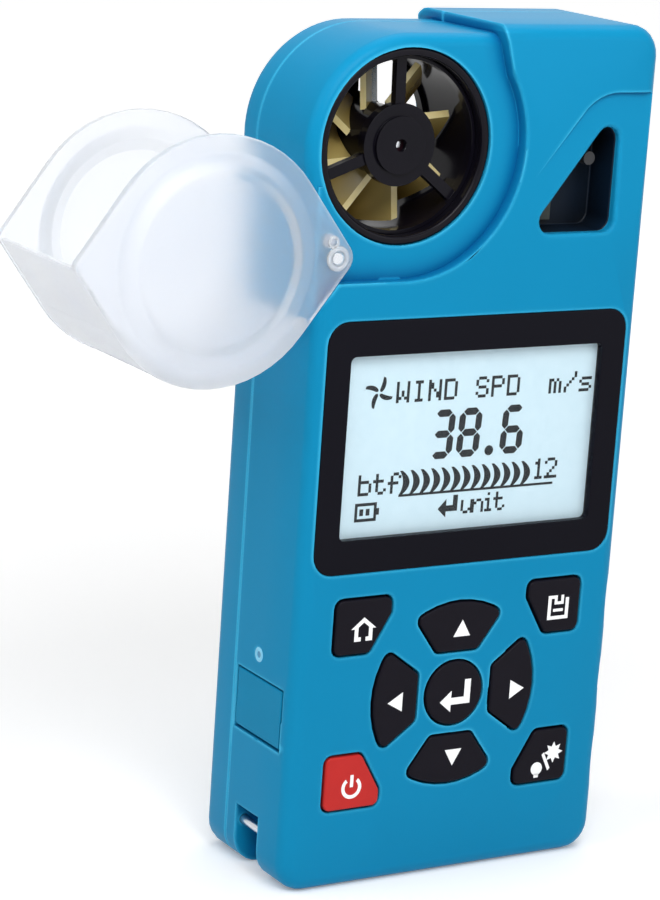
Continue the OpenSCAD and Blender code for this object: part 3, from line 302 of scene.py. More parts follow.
# Shrink film on the cells: smooth green-grey with a clear gloss.
cellFilm = mouldedSkin("cellFilm", {
    "colour": "#5f7380", "shade": "#546774", "rough": 0.25, "swing": 0.05, "grain": 0.8, "rise": 0.01,
    "flow": 10, "sockets": {"IOR": 1.5, "Coat Weight": 0.3}})
# Synthetic ruby, lapped, deep in its seat: coloured near-black, a painted shade of its dark pit, so that only
# a trace of red shows.
rubyJewel = mouldedSkin("rubyJewel", {
    "colour": "#1e0510", "shade": "#16040c", "rough": 0.3, "swing": 0.02, "grain": 0.4, "rise": 0.002,
    "flow": 1, "sockets": {"IOR": 1.77, "Specular IOR Level": 0.08}})
# Diffusing polycarbonate lamp lens: blue and milky.
lampLens = mouldedSkin("lampLens", {
    "colour": "#2a8fbd", "shade": "#2386b3", "rough": 0.3, "swing": 0.05, "grain": 0.4, "rise": 0.01,
    "flow": 1, "sockets": {"IOR": 1.58, "Subsurface Weight": 0.2}})
# The lens's raised rim, where the light guide shows: pale and bright.
lampRim = mouldedSkin("lampRim", {
    "colour": "#7fd0ee", "shade": "#6fc6ea", "rough": 0.3, "swing": 0.05, "grain": 0.4, "rise": 0.01,
    "flow": 1, "sockets": {"IOR": 1.58}})
# Stainless steel, turned and ground: fine rings and a broad bright streak.
turnedSteel = turnedMetal("turnedSteel", {
    "colour": "#d6d9de", "shade": "#c2c6cc", "rough": 0.26, "swing": 0.08, "pitch": 0.12, "rise": 0.004,
    "flow": 3, "along": "Y", "sockets": {"Metallic": 1.0}})
# Zinc-plated screws: bluish and a little duller than the pins.
platedSteel = turnedMetal("platedSteel", {
    "colour": "#9aa3ad", "shade": "#858e98", "rough": 0.36, "swing": 0.08, "pitch": 0.15, "rise": 0.004,
    "flow": 2, "along": "Y", "sockets": {"Metallic": 1.0}})
# Nickel-plated sintered magnets: bright with soft pitting.
nickelMagnet = turnedMetal("nickelMagnet", {
    "colour": "#a9a8a4", "shade": "#8f8f8c", "rough": 0.3, "swing": 0.1, "pitch": 0.3, "rise": 0.006,
    "flow": 0.8, "along": "X", "sockets": {"Metallic": 1.0}})
# Brass bush, turned: warm yellow with fine lines.
turnedBrass = turnedMetal("turnedBrass", {
    "colour": "#c9a24f", "shade": "#b08a3c", "rough": 0.28, "swing": 0.08, "pitch": 0.15, "rise": 0.005,
    "flow": 2, "along": "Y", "sockets": {"Metallic": 1.0}})
print("materials made:", len(bpy.data.materials))

# copies of the moulded parts; lengths in mm, and flat, the angle up to which faces count as one, in degrees
merging = {"weld": 0.002, "cut": 0.02, "flat": 0.6, "apart": 0.6}


# Planes through the middles of the given nodes, as axis and place; of two closer than the gap, one.
def cutPlaces(around, axes):
    planes = []
    for axis in axes if around else ():
        row = np.sort([middleOf(node)[axis] for node in around])
        planes += [(axis, place) for place in row[np.r_[True, np.diff(row) > merging["apart"]]]]
    return planes


# The node's loose triangles as one closed mesh with flat regions joined. Planes through what opens the node
# keep each holed region in simple pieces.
def mergedCopy(node, planes):
    mesh = nodes[node].data.copy()
    shape = bmesh.new()
    shape.from_mesh(mesh)
    bmesh.ops.remove_doubles(shape, verts=shape.verts, dist=merging["weld"] * mm)
    for axis, place in planes:
        spot, facing = Vector((0, 0, 0)), Vector((0, 0, 0))
        spot[axis], facing[axis] = place * mm, 1
        cut = bmesh.ops.bisect_plane(shape, geom=[*shape.verts, *shape.edges, *shape.faces],
                                     dist=merging["cut"] * mm, plane_co=spot, plane_no=facing)
        for part in cut["geom_cut"]:
            if isinstance(part, bmesh.types.BMEdge):
                part.seam = True
    bmesh.ops.dissolve_limit(shape, angle_limit=math.radians(merging["flat"]), verts=shape.verts,
                             edges=shape.edges, delimit={"SEAM"})
    shape.to_mesh(mesh)
    shape.free()
    mesh.edges.foreach_set("use_seam", np.zeros(len(mesh.edges), bool))
    return mesh


# A named piece of the given mesh and materials that rides on a body; the CAD's own shading is cleared.
def placePiece(name, mesh, body, materials, smooth=True):
    piece = bpy.data.objects.new(name, mesh)
    bpy.context.scene.collection.objects.link(piece)
    if mesh.has_custom_normals:
        bpy.context.view_layer.objects.active = piece
        bpy.ops.mesh.customdata_custom_splitnormals_clear()
    mesh.polygons.foreach_set("use_smooth", np.full(len(mesh.polygons), smooth))
    mesh.materials.clear()
    for material in materials:
        mesh.materials.append(material)
    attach(piece, body)
    return piece


# One property of all of a mesh's parts, as rows of the given width.
def read(things, what, width, kind=float):
    values = np.empty(len(things) * width, kind)
    things.foreach_get(what, values)
    return values.reshape(-1, width) if width > 1 else values


# The edge and the face of each corner of a mesh's faces.
def cornerHomes(mesh):
    ofFace = np.repeat(np.arange(len(mesh.polygons)), read(mesh.polygons, "loop_total", 1, np.int32))
    return read(mesh.loops, "edge_index", 1, np.int32), ofFace


# Which edges two faces share, and the corners that start each of those in its first and in its second face.
def sharedEdges(mesh, ofEdge):
    order = np.argsort(ofEdge, kind="stable")
    counts = np.bincount(ofEdge, minlength=len(mesh.edges))
    first, paired = np.cumsum(counts) - counts, counts == 2
    return paired, order[first[paired]], order[first[paired] + 1]


# For each edge: its middle in mm, the angle between its faces in degrees, and whether it is hollow, that is,
# whether the cross product of its faces' normals runs against it, as the first face goes round.
def edgeFacts(mesh):
    points = read(mesh.vertices, "co", 3)
    ends = read(mesh.edges, "vertices", 2, np.int32)
    faceNormals = read(mesh.polygons, "normal", 3)
    ofPoint = read(mesh.loops, "vertex_index", 1, np.int32)
    ofEdge, ofFace = cornerHomes(mesh)
    paired, a, b = sharedEdges(mesh, ofEdge)
    normalA, normalB = faceNormals[ofFace[a]], faceNormals[ofFace[b]]
    along = points[ends[paired, 1]] - points[ends[paired, 0]]
    along[ofPoint[a] != ends[paired, 0]] *= -1
    angle, hollow = np.zeros(len(mesh.edges)), np.zeros(len(mesh.edges), bool)
    angle[paired] = np.degrees(np.arccos(np.clip((normalA * normalB).sum(1), -1, 1)))
    hollow[paired] = (np.cross(normalA, normalB) * along).sum(1) < 0
    return points[ends].mean(1) / mm, angle, hollow


# the most that a radius takes, of the shortest edge at its ends and of the radius of the run that it follows;
# plenty, in mm, stands for no limit, and straight is half the least turn of a run, in radians
radiusRoom = {"ofEdge": 0.45, "ofRun": 0.8, "plenty": 1e3, "straight": 1e-3}


# How large a radius fits at each edge, in mm: a share of the shortest edge at its ends. Where two rounded
# edges run on smoothly, only the others count there, and the radius stays under a share of the run's own
# radius, which is the shorter edge over the angle that the run turns by.
def roomFor(mesh, radii):
    points = read(mesh.vertices, "co", 3) / mm
    ends = read(mesh.edges, "vertices", 2, np.int32)
    along = points[ends[:, 1]] - points[ends[:, 0]]
    length = np.linalg.norm(along, axis=1)
    along /= length[:, None]
    rounded = radii > 0
    count = np.bincount(ends[rounded].ravel(), minlength=len(points))
    shortest, shortestRun = np.full((2, len(points)), radiusRoom["plenty"])
    lean = np.zeros((len(points), 3))
    for side, sign in ((0, 1), (1, -1)):
        at = ends[:, side]
        counts = ~rounded | (count[at] != 2)
        np.minimum.at(shortest, at[counts], length[counts])
        np.minimum.at(shortestRun, at[rounded], length[rounded])
        np.add.at(lean, at[rounded], sign * along[rounded])
    turn = 2 * np.arcsin(np.clip(np.linalg.norm(lean, axis=1) / 2, radiusRoom["straight"], 1))
    ofRun = np.where(count == 2, radiusRoom["ofRun"] * shortestRun / turn, radiusRoom["plenty"])
    return np.minimum(radiusRoom["ofEdge"] * shortest, ofRun)[ends].min(1)


# A face is folded where its triangles together exceed its own area times share plus slack, in square mm, and
# turned back where the cosine to a neighbour is under turnedBack and both are larger than tiny. Its edges'
# radii are multiplied by ease in the gentle rounds, and then go to nothing, as those under least mm do.
folding = {"rounds": 12, "gentle": 7, "share": 1.02, "slack": 0.01, "turnedBack": -0.85, "tiny": 1e-4,
           "ease": 0.65, "least": 0.04}


# Faces that lie over themselves, where the area of all triangles is more than the area of their sum as
# vectors, and faces turned back against a neighbour.
def foldedFaces(mesh):
    mesh.calc_loop_triangles()
    points = read(mesh.vertices, "co", 3) / mm
    corners = points[read(mesh.loop_triangles, "vertices", 3, np.int32)]
    ofTriangle = read(mesh.loop_triangles, "polygon_index", 1, np.int32)
    turned = np.cross(corners[:, 1] - corners[:, 0], corners[:, 2] - corners[:, 0]) / 2
    count = len(mesh.polygons)
    whole = np.bincount(ofTriangle, np.linalg.norm(turned, axis=1), count)
    net = np.stack([np.bincount(ofTriangle, turned[:, k], count) for k in range(3)], 1)
    size = np.linalg.norm(net, axis=1)
    folded = whole > size * folding["share"] + folding["slack"]
    facing = net / np.maximum(size, 1e-9)[:, None]  # a face without area faces nowhere
    ofEdge, ofFace = cornerHomes(mesh)
    a, b = (ofFace[corner] for corner in sharedEdges(mesh, ofEdge)[1:])
    back = (facing[a] * facing[b]).sum(1) < folding["turnedBack"]
    back &= np.minimum(size[a], size[b]) > folding["tiny"]
    folded[a[back]] = folded[b[back]] = True
    return folded


# Sets each edge's share of the radius. Where rounding folds a face, the edges of the face that it came from
# get a smaller radius, round after round.
def easeFolds(piece, radii):
    mesh, edges = piece.data, piece.modifiers["moulded edges"]
    weights = mesh.attributes.get("bevel_weight_edge")
    weights = weights or mesh.attributes.new("bevel_weight_edge", "FLOAT", "EDGE")
    home = mesh.attributes.new("home", "INT", "FACE")
    home.data.foreach_set("value", np.arange(len(mesh.polygons), dtype=np.int32))
    ofEdge, ofFace = cornerHomes(mesh)
    widest = edges.width / mm
    for turn in range(folding["rounds"]):
        weights.data.foreach_set("value", (radii / widest).astype(np.float32))
        mesh.update()
        rounded = piece.evaluated_get(bpy.context.evaluated_depsgraph_get())
        shape = rounded.to_mesh()
        folded = foldedFaces(shape)
        homes = read(shape.attributes["home"].data, "value", 1, np.int32)
        tight = np.isin(ofFace, homes[folded])
        rounded.to_mesh_clear()
        if not folded.any():
            break
        radii[np.unique(ofEdge[tight])] *= folding["ease"] if turn < folding["gentle"] else 0
        radii[radii < folding["least"]] = 0


# edges sharper than this many degrees are rounded, in so many steps; least is the least width, in mm
rounding = {"sharpest": 30, "steps": 3, "least": 0.01}


# A merged copy whose sharp edges get a radius in mm; a group gives the edges that it picks its own, from
# its own least angle on. What opens the node's front or back is around, what opens its sides is beside.
def roundedCopy(node, materials, radius, groups=(), around=(), beside=()):
    mesh = mergedCopy(node, cutPlaces([node, *around], (0, 2)) + cutPlaces(beside, (1, 2)))
    middle, angle, hollow = edgeFacts(mesh)
    radii = np.where(angle > rounding["sharpest"], radius, 0.0)
    for own, least, picks in groups:
        radii[(angle > least) & picks(middle, hollow)] = own
    radii = np.minimum(radii, roomFor(mesh, radii))
    piece = placePiece(node + "_moulded", mesh, nodes[node]["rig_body"], materials)
    edges = piece.modifiers.new("moulded edges", "BEVEL")
    edges.width = max(radii.max(), rounding["least"]) * mm
    edges.segments = rounding["steps"]
    edges.limit_method = "WEIGHT"
    edges.use_clamp_overlap = False
    edges.harden_normals = True
    edges.miter_outer = "MITER_ARC"
    easeFolds(piece, radii)
    mesh.edges.foreach_set("use_edge_sharp", (angle > rounding["sharpest"]) & (radii == 0))
    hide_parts(node)
    return piece


# radii of the shells' edges, in mm
shellEdges = {"general": 0.3, "hollow": 0.15, "recessFoot": 1.3, "recessRim": 0.5, "ductLip": 0.6,
              "bayRim": 0.8}
# where they are, in mm: how far the duct stands behind the recess, how far the recess's rim reaches from the
# duct's middle and below the hinge, how far past the duct its lip is, and how deep the bay's rim goes
shellPlaces = {"ductBack": 0.3, "rimReach": 32, "rimBelow": 7, "lipPast": 0.3, "bayDeep": 1.6, "slack": 0.1,
               "baySlack": 0.4}
recessDepth = ductLow[1] - faceY - shellPlaces["ductBack"]
bayLow, bayHigh = boxOf("sensor_bay")


# Distance from the duct's axis.
def fromDuct(middle):
    return np.hypot(middle[:, 0] - ductMiddle[0], middle[:, 2] - ductMiddle[2])


# Whether an edge lies at a depth behind the case's face.
def atDepth(middle, depth):
    return np.abs(middle[:, 1] - faceY - depth) < shellPlaces["slack"]


# Whether an edge lies within the sensor bay's outline, seen from the front.
def inBay(middle):
    flat, slack = middle[:, [0, 2]], shellPlaces["baySlack"]
    return ((flat > bayLow[[0, 2]] - slack) & (flat < bayHigh[[0, 2]] + slack)).all(1)


# The rim of the recess round the duct: on the case's face, near the duct, above the hinge and not at the bay.
def atRim(middle, hollow):
    near = (fromDuct(middle) < shellPlaces["rimReach"]) & (middle[:, 2] > hinge[2] - shellPlaces["rimBelow"])
    return ~hollow & atDepth(middle, 0) & near & ~inBay(middle)


# The foot of the recess's wall.
def atFoot(middle, hollow):
    return hollow & atDepth(middle, recessDepth)


# The lip of the duct, at the foot of the recess.
def atLip(middle, hollow):
    return atDepth(middle, recessDepth) & (fromDuct(middle) < ductR + shellPlaces["lipPast"])


# The rim of the sensor bay.
def atBay(middle, hollow):
    return ~hollow & inBay(middle) & (middle[:, 1] < faceY + shellPlaces["bayDeep"])


# Picks the edges within a box, which nobody sees and which stay sharp.
def insideOf(least, most):
    return lambda middle, hollow: ((middle > least) & (middle < most)).all(1)


shellPicks = {"hollow": lambda middle, hollow: hollow, "recessRim": atRim, "recessFoot": atFoot,
              "ductLip": atLip, "bayRim": atBay}
shellGroups = [(shellEdges[name], rounding["sharpest"], picks) for name, picks in shellPicks.items()]
# the inside of the case in mm: half its width, its foot and top, how far behind each shell's face it
# starts, and far for a side that is open
inner = {"half": 28.3, "foot": 2.6, "top": 139.3, "front": 3.6, "rear": 1.2, "far": 99}
frontHidden = insideOf((-inner["half"], faceY + inner["front"], inner["foot"]),
                       (inner["half"], inner["far"], inner["top"]))
rearHidden = insideOf((-inner["half"], -inner["far"], inner["foot"]),
                      (inner["half"], -faceY - inner["rear"], inner["top"]))
keyHidden = insideOf((-inner["far"], faceY, 0), (inner["far"], inner["far"], inner["far"]))
keyEdge = 0.4
keyNames = [node for node in nodes if node.endswith("_key")]
# what each moulded part is made of, the radius its edges show, its edges that differ and what opens it
mouldings = {
    "front_shell": ([caseAbs], shellEdges["general"], [*shellGroups, (0, 0, frontHidden)],
                    [*keyNames, "impeller_duct", "display_bezel", "sensor_bay"],
                    ["port_flap", "charging_lamp"]),
    "rear_shell": ([caseAbs], shellEdges["general"], [(0, 0, rearHidden)],
                   ["impeller_duct", "battery_door", "tripod_bush"], ["port_flap"]),
    "battery_door": ([caseAbs], 0.25), "impeller_duct": ([glossAbs], 0.5), "front_bridge": ([glossAbs], 0.25),
    "rear_bridge": ([glossAbs], 0.2), "display_bezel": ([bezelAcrylic], 0.2),
    "sensor_bay": ([pocketAbs], 0.3), "port_flap": ([flapElastomer], 0.2),
    "power_key": ([powerSilicone], keyEdge, [(0, 0, keyHidden)]),
    "charging_lamp": ([lampLens], 0.15), "humidity_sensor": ([sensorCeramic], 0.15),
}
mouldings |= {node: ([keySilicone], keyEdge, [(0, 0, keyHidden)]) for node in keyNames
              if node != "power_key"}
for node, spec in mouldings.items():
    roundedCopy(node, *spec)
print("moulded parts:", len(mouldings))

# the CAD solids that stay, each with its own finish
finishOf = {
    "case_gasket": sealRubber, "case_screws": platedSteel, "rotor_shaft": turnedSteel,
    "jewel_bearings": rubyJewel, "rotor_magnets": nickelMagnet, "hall_sensor": chipEpoxy,
    "cap_pivot_pin": turnedSteel, "display_pane": paneAcrylic, "display_glass": crystalGlass,
    "display_backlight": guideAcrylic, "display_ribbon": ribbonFilm, "main_board": boardEpoxy,
    "dome_switches": turnedSteel, "keypad_seal": sealRubber, "processor": chipEpoxy,
    "pressure_sensor": platedSteel, "radio_module": platedSteel, "buzzer": chipEpoxy,
    "temperature_sensor": chipEpoxy, "battery_tray": mattNylon, "batteries": cellFilm,
    "battery_contacts": turnedSteel, "door_hinge_pin": turnedSteel, "door_screw": platedSteel,
    "tripod_bush": turnedBrass, "strap_bar": turnedSteel, "flap_pin": turnedSteel,
    "charging_port": platedSteel, "cap_detent": turnedSteel,
}
for node, material in finishOf.items():
    for place in nodes[node].material_slots:
        place.material = material
print("carried-over parts:", len(finishOf))

# the impeller: a black hub, smoke-tinted blades, and a painted highlight in pale cream on front edges, where
# a normal's y is under forward
rotorLook = {"hubR": 5.7, "edge": 0.12, "forward": -0.95}


# Each face's middle in mm and its normal.
def faceFacts(piece):
    faces = piece.data.polygons
    return read(faces, "center", 3) / mm, read(faces, "normal", 3)


# The hub's faces lie within its radius; a blade's edge faces look straight forward.
def makeRotor():
    piece = roundedCopy("rotor", [bladeSmoke, glossAbs, bladeEdgePaintedHighlight], rotorLook["edge"])
    middle, normal = faceFacts(piece)
    # faces that look forward get the pale cream painted highlight
    blades = np.where(normal[:, 1] < rotorLook["forward"], 2, 0)
    index = np.where(fromDuct(middle) < rotorLook["hubR"], 1, blades)
    piece.data.polygons.foreach_set("material_index", index.astype(np.int32))


makeRotor()
print("rotor made")

# the clear cap, in mm: clear at the rim, frosted in the middle, with a milky wall; the dome's ring is rounded
# from a gentler angle on, and between the plates, past the wall's radius, edges stay sharp
capLook = {"edge": 0.3, "frostedR": 10, "wallFrom": 1.2, "sideways": 0.5, "domeR": (13.5, 17.5),
           "domeLeast": 12, "domeRise": 1.2, "wallR": 19, "plateFrom": 13}


# Frosted within a radius of the cap's axis; wall where a face lies between the plates and looks sideways.
def makeCap():
    fromCap = lambda middle: np.hypot(middle[:, 0] - capCentreX, middle[:, 2] - hinge[2])
    domeFrom, domeTo = capLook["domeR"]
    onDome = lambda middle, hollow: (fromCap(middle) > domeFrom) & (fromCap(middle) < domeTo)
    byWall = lambda middle, hollow: ((np.abs(middle[:, 1]) < capLook["plateFrom"])
                                     & (fromCap(middle) > capLook["wallR"]))
    piece = roundedCopy("flip_cap", [capClear, capFrosted, capWall], capLook["edge"],
                        [(capLook["edge"], capLook["domeLeast"], onDome), (0.0, 0, byWall)])
    middle, normal = faceFacts(piece)
    low, high = boxOf("flip_cap")
    inside = (middle[:, 1] > low[1] + capLook["wallFrom"]) & (middle[:, 1] < high[1] - capLook["wallFrom"])
    plates = np.where(fromCap(middle) < capLook["frostedR"], 1, 0)
    index = np.where(inside & (np.abs(normal[:, 1]) < capLook["sideways"]), 2, plates)
    piece.data.polygons.foreach_set("material_index", index.astype(np.int32))


makeCap()


# A ring turned about an axis: a half-round profile, r = middle radius + half width times cosine and height =
# rise times sine, carried round the circle. It rises down the axis, and its flat side sits on the surface.
def turnedRing(name, centre, radii, rise, body, material, axis=1, steps=48, across=9):
    inside, outside = radii
    turn = np.linspace(0, 2 * math.pi, steps, endpoint=False)[:, None]
    arc = np.linspace(0, math.pi, across)[None, :]
    r = (inside + outside) / 2 + (outside - inside) / 2 * np.cos(arc) + 0 * turn
    up = rise * np.sin(arc) + 0 * turn
    rows = [np.cos(turn) * r, np.sin(turn) * r]
    rows.insert(axis, -up)
    points = np.stack(rows, -1).reshape(-1, 3) + centre
    i, j = np.meshgrid(np.arange(steps), np.arange(across), indexing="ij")
    at = lambda a, b: ((a % steps) * across + b % across).ravel()
    faces = np.c_[at(i, j), at(i, j + 1), at(i + 1, j + 1), at(i + 1, j)]
    mesh = bpy.data.meshes.new(name)
    mesh.from_pydata((points * mm).tolist(), [], faces.tolist())
    shape = bmesh.new()
    shape.from_mesh(mesh)
    bmesh.ops.recalc_face_normals(shape, faces=shape.faces)
    shape.to_mesh(mesh)
    shape.free()
    return placePiece(name, mesh, body, [material])


capFront = boxOf("flip_cap")[0][1] + capLook["domeRise"]  # outer face of the front plate, without its dome
# how far right of and above the hinge each ring stands, its inner and outer radius and its rise, in mm
pivotRings = {"pivot_ring": ((0, 0), (1.15, 2.05), 0.35), "stop_ring": ((-0.95, 2.6), (0.5, 1.05), 0.25)}
for name, (shift, radii, rise) in pivotRings.items():
    turnedRing(name, (hinge[0] + shift[0], capFront, hinge[2] + shift[1]), radii, rise, "cap", capWall)
lampRing = {"radii": (0.55, 1.25), "rise": 0.12}  # in mm
lampFace = middleOf("charging_lamp")
lampFace[0] = boxOf("charging_lamp")[0][0]
turnedRing("lamp_rim", lampFace, lampRing["radii"], lampRing["rise"], "case", lampRim, axis=0)
print("cap and rings made")


# Each outline (x right, z up, in mm) is carried from frontY to frontY + thick; two end faces close it.
def printedMarks(name, outlines, originX, originZ, frontY, thick, body, material):
    points, faces, start = [], [], 0
    for outline in outlines:
        flat = np.asarray(outline, float)
        x, z = flat[:, 0], flat[:, 1]
        if np.sum(x * np.roll(z, -1) - np.roll(x, -1) * z) < 0:
            flat = flat[::-1]
        count = len(flat)
        ring = np.c_[flat[:, 0] + originX, np.full(count, frontY), flat[:, 1] + originZ]
        points += [ring, ring + [0, thick, 0]]
        i = np.arange(count)
        j = (i + 1) % count
        faces += [(i + start).tolist(), (i[::-1] + start + count).tolist()]
        faces += (np.c_[i, i + count, j + count, j] + start).tolist()
        start += 2 * count
    mesh = bpy.data.meshes.new(name)
    mesh.from_pydata((np.vstack(points) * mm).tolist(), [], faces)
    mesh.update()
    return placePiece(name, mesh, body, [material], smooth=False)


# A rectangle between two opposite corners.
def bar(x0, z0, x1, z1):
    return [(x0, z0), (x1, z0), (x1, z1), (x0, z1)]


# Points at a radius and an angle about a middle: x + r cos a, z + r sin a.
def polar(r, a, x=0.0, z=0.0):
    return np.c_[x + r * np.cos(a), z + r * np.sin(a)]


# A band of constant width along an arc: out along the outer radius, back along the inner one.
def arcBand(radius, width, start, end, steps=24):
    a = np.radians(np.linspace(start, end, steps))
    return np.r_[polar(radius + width / 2, a), polar(radius - width / 2, a)[::-1]]


# A round spot of so many points.
def disc(radius, x=0.0, z=0.0, steps=28):
    return polar(radius, np.linspace(0, 2 * math.pi, steps, endpoint=False), x, z)


# Points that step between two radii.
def star(outer, inner, rays, x=0.0, z=0.0):
    steps = np.arange(2 * rays)
    return polar(np.where(steps % 2 == 0, outer, inner), steps * math.pi / rays, x, z)


# A triangle that points up, turned by quarter turns.
def arrow(turn):
    flat = np.array([(-1.65, -1.3), (1.65, -1.3), (0, 1.55)])
    a = math.radians(turn)
    return flat @ np.array([[math.cos(a), math.sin(a)], [-math.sin(a), math.cos(a)]])


markLook = {"proud": 0.03, "thick": 0.12}  # in mm
# what each key carries: how far the mark stands from the key's middle, and its outlines, in mm
keyMarks = {
    "home_key": [(0.0, -0.5), [[(-0.45, -1.9), (-1.7, -1.9), (-1.7, 0.2), (-2.35, 0.2), (0, 2.1), (2.35, 0.2),
                                (1.7, 0.2), (1.7, -1.9), (0.45, -1.9), (0.45, -1.2), (1.0, -1.2), (1.0, 0.45),
                                (0, 1.25), (-1.0, 0.45), (-1.0, -1.2), (-0.45, -1.2)]]],
    "save_key": [(0.9, -0.3), [bar(-2.1, -2.1, -1.45, 2.1), bar(1.45, -2.1, 2.1, 1.6),
                               bar(-1.45, -2.1, 1.45, -1.5), bar(-1.45, 1.55, -0.8, 2.1),
                               bar(-0.8, 0.5, -0.25, 2.1), bar(0.5, 0.5, 1.05, 2.1),
                               bar(-0.25, 0.5, 0.5, 1.0), bar(-1.0, -0.75, 1.0, -0.25)]],
    "up_key": [(0.5, -0.4), [arrow(0)]],
    "down_key": [(0.6, 0.3), [arrow(180)]],
    "left_key": [(0.0, -0.4), [arrow(90)]],
    "right_key": [(0.9, -0.6), [arrow(-90)]],
    "enter_key": [(0.2, -0.3), [[(-3.0, -1.1), (-0.8, 0.75), (-0.8, -0.5), (1.7, -0.5), (1.7, 2.5),
                                 (2.9, 2.5), (2.9, -1.7), (-0.8, -1.7), (-0.8, -2.95)]]],
    "power_key": [(-0.2, -0.9), [arcBand(1.6, 0.62, 128, 412), bar(-0.3, 0.1, 0.3, 2.2)]],
    "lamp_key": [(0.9, -1.2), [disc(1.15, -1.6, -1.0), bar(-2.05, -2.6, -1.15, -1.9),
                               [(-0.75, 1.35), (-0.3, 1.75), (1.15, -1.2), (0.7, -1.6)],
                               star(1.9, 1.1, 8, 1.65, 1.6)]],
}
for node, (shift, outlines) in keyMarks.items():
    middle = middleOf(node)
    printedMarks(node + "_mark", outlines, middle[0] + shift[0], middle[2] + shift[1],
                 boxOf(node)[0][1] - markLook["proud"], markLook["thick"], nodes[node]["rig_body"], keyInk)
print("key marks:", len(keyMarks))

# what the display shows: sizes in mm, and lean as how far a digit goes right for each mm that it rises
glassY = boxOf("display_glass")[0][1]
screen = {"dot": 0.5, "front": glassY - 0.03, "thick": 0.06, "lean": 0.05, "digitH": 8.2, "digitW": 4.4,
          "stroke": 1.2, "gap": 0.12}
dotRows = {  # five dots wide, seven rows from the top
    "W": "10001 10001 10001 10101 10101 11011 10001", "I": "01110 00100 00100 00100 00100 00100 01110",
    "N": "10001 11001 11001 10101 10011 10011 10001", "D": "11110 10001 10001 10001 10001 10001 11110",
    "S": "01110 10001 10000 01110 00001 10001 01110", "P": "11110 10001 10001 11110 10000 10000 10000",
    "m": "00000 00000 11010 10101 10101 10101 10101", "/": "00001 00001 00010 00100 01000 10000 10000",
    "s": "00000 00000 01111 10000 01110 00001 11110", "b": "10000 10000 11110 10001 10001 10001 11110",
    "t": "01000 01000 11110 01000 01000 01001 00110", "f": "00110 01001 01000 11110 01000 01000 01000",
    "1": "00100 01100 00100 00100 00100 00100 01110", "2": "01110 10001 00001 00010 00100 01000 11111",
    "u": "00000 00000 10001 10001 10001 10011 01101", "n": "00000 00000 10110 11001 10001 10001 10001",
    "i": "00100 00000 01100 00100 00100 00100 01110", " ": "00000 00000 00000 00000 00000 00000 00000",
}


# A square for each dot that is on: its row and column times the dot size, from the lower left corner.
def dotText(words, x, z, size, pitch):
    squares = []
    for place, letter in enumerate(words):
        grid = np.array([[int(c) for c in row] for row in dotRows[letter].split()])
        rows, columns = np.nonzero(grid)
        left = x + (place * pitch + columns) * size
        low = z + (len(grid) - 1 - rows) * size
        squares += [bar(*corner) for corner in np.c_[left, low, left + size, low + size].tolist()]
    return squares


# A bar between two points with pointed ends.
def segment(x0, z0, x1, z1, width):
    a, b = np.array([x0, z0]), np.array([x1, z1])
    u = (b - a) / np.hypot(*(b - a))
    n = np.array([-u[1], u[0]]) * width / 2
    inset = u * width / 2
    return [a, a + inset + n, b - inset + n, b, b - inset - n, a + inset - n]


# Seven bars round two squares; the whole leans to the right with height.
def digit(lit, x, z):
    w, h, t, g = screen["digitW"], screen["digitH"], screen["stroke"], screen["gap"]
    l, r, low, mid, top = t / 2, w - t / 2, t / 2, h / 2, h - t / 2
    bars = {"a": (l + g, top, r - g, top), "b": (r, mid + g, r, top - g), "c": (r, low + g, r, mid - g),
            "d": (l + g, low, r - g, low), "e": (l, low + g, l, mid - g), "f": (l, mid + g, l, top - g),
            "g": (l + g, mid, r - g, mid)}
    made = []
    for name in lit:
        flat = np.array(segment(*bars[name], t))
        flat[:, 0] += flat[:, 1] * screen["lean"]
        made.append(flat + [x, z])
    return made


# the vane sign: where its blades start in mm, the first one's angle in degrees, how far they swing ahead in
# radians, and their width at the root and its gain; and the curved bars' bulge and thickness in mm
vaneLook = {"from": 0.35, "first": 38, "swing": 0.55, "root": 0.16, "gain": 0.30, "taper": 0.9, "least": 0.6}
scaleLook = {"bulge": 0.7, "ends": 0.5, "gain": 0.75}


# Four blades: each a wedge whose leading edge swings ahead as the radius grows.
def vaneIcon(x, z, radius):
    blades = []
    r = np.linspace(vaneLook["from"], radius, 10)
    for quarter in range(4):
        swing = math.radians(90 * quarter + vaneLook["first"]) + vaneLook["swing"] * r / radius
        width = vaneLook["root"] + vaneLook["gain"] * np.sin(math.pi * r / radius * vaneLook["taper"])
        half = width / np.maximum(r, vaneLook["least"]) * vaneLook["taper"]
        blades.append(np.r_[polar(r, swing + half, x, z), polar(r, swing - half, x, z)[::-1]])
    return blades


# Curved bars in a row: a parabola bulging to the right, thickest in its middle.
def scaleBars(x, z, count, pitch, height):
    s = np.linspace(-1, 1, 11)
    bulge = scaleLook["bulge"] * (1 - s ** 2)
    thick = scaleLook["ends"] + scaleLook["gain"] * (1 - s ** 2)
    up = z + height * (s + 1) / 2
    lefts = [x + i * pitch + bulge for i in range(count)]
    return [np.r_[np.c_[left + thick, up], np.c_[left, up][::-1]] for left in lefts]


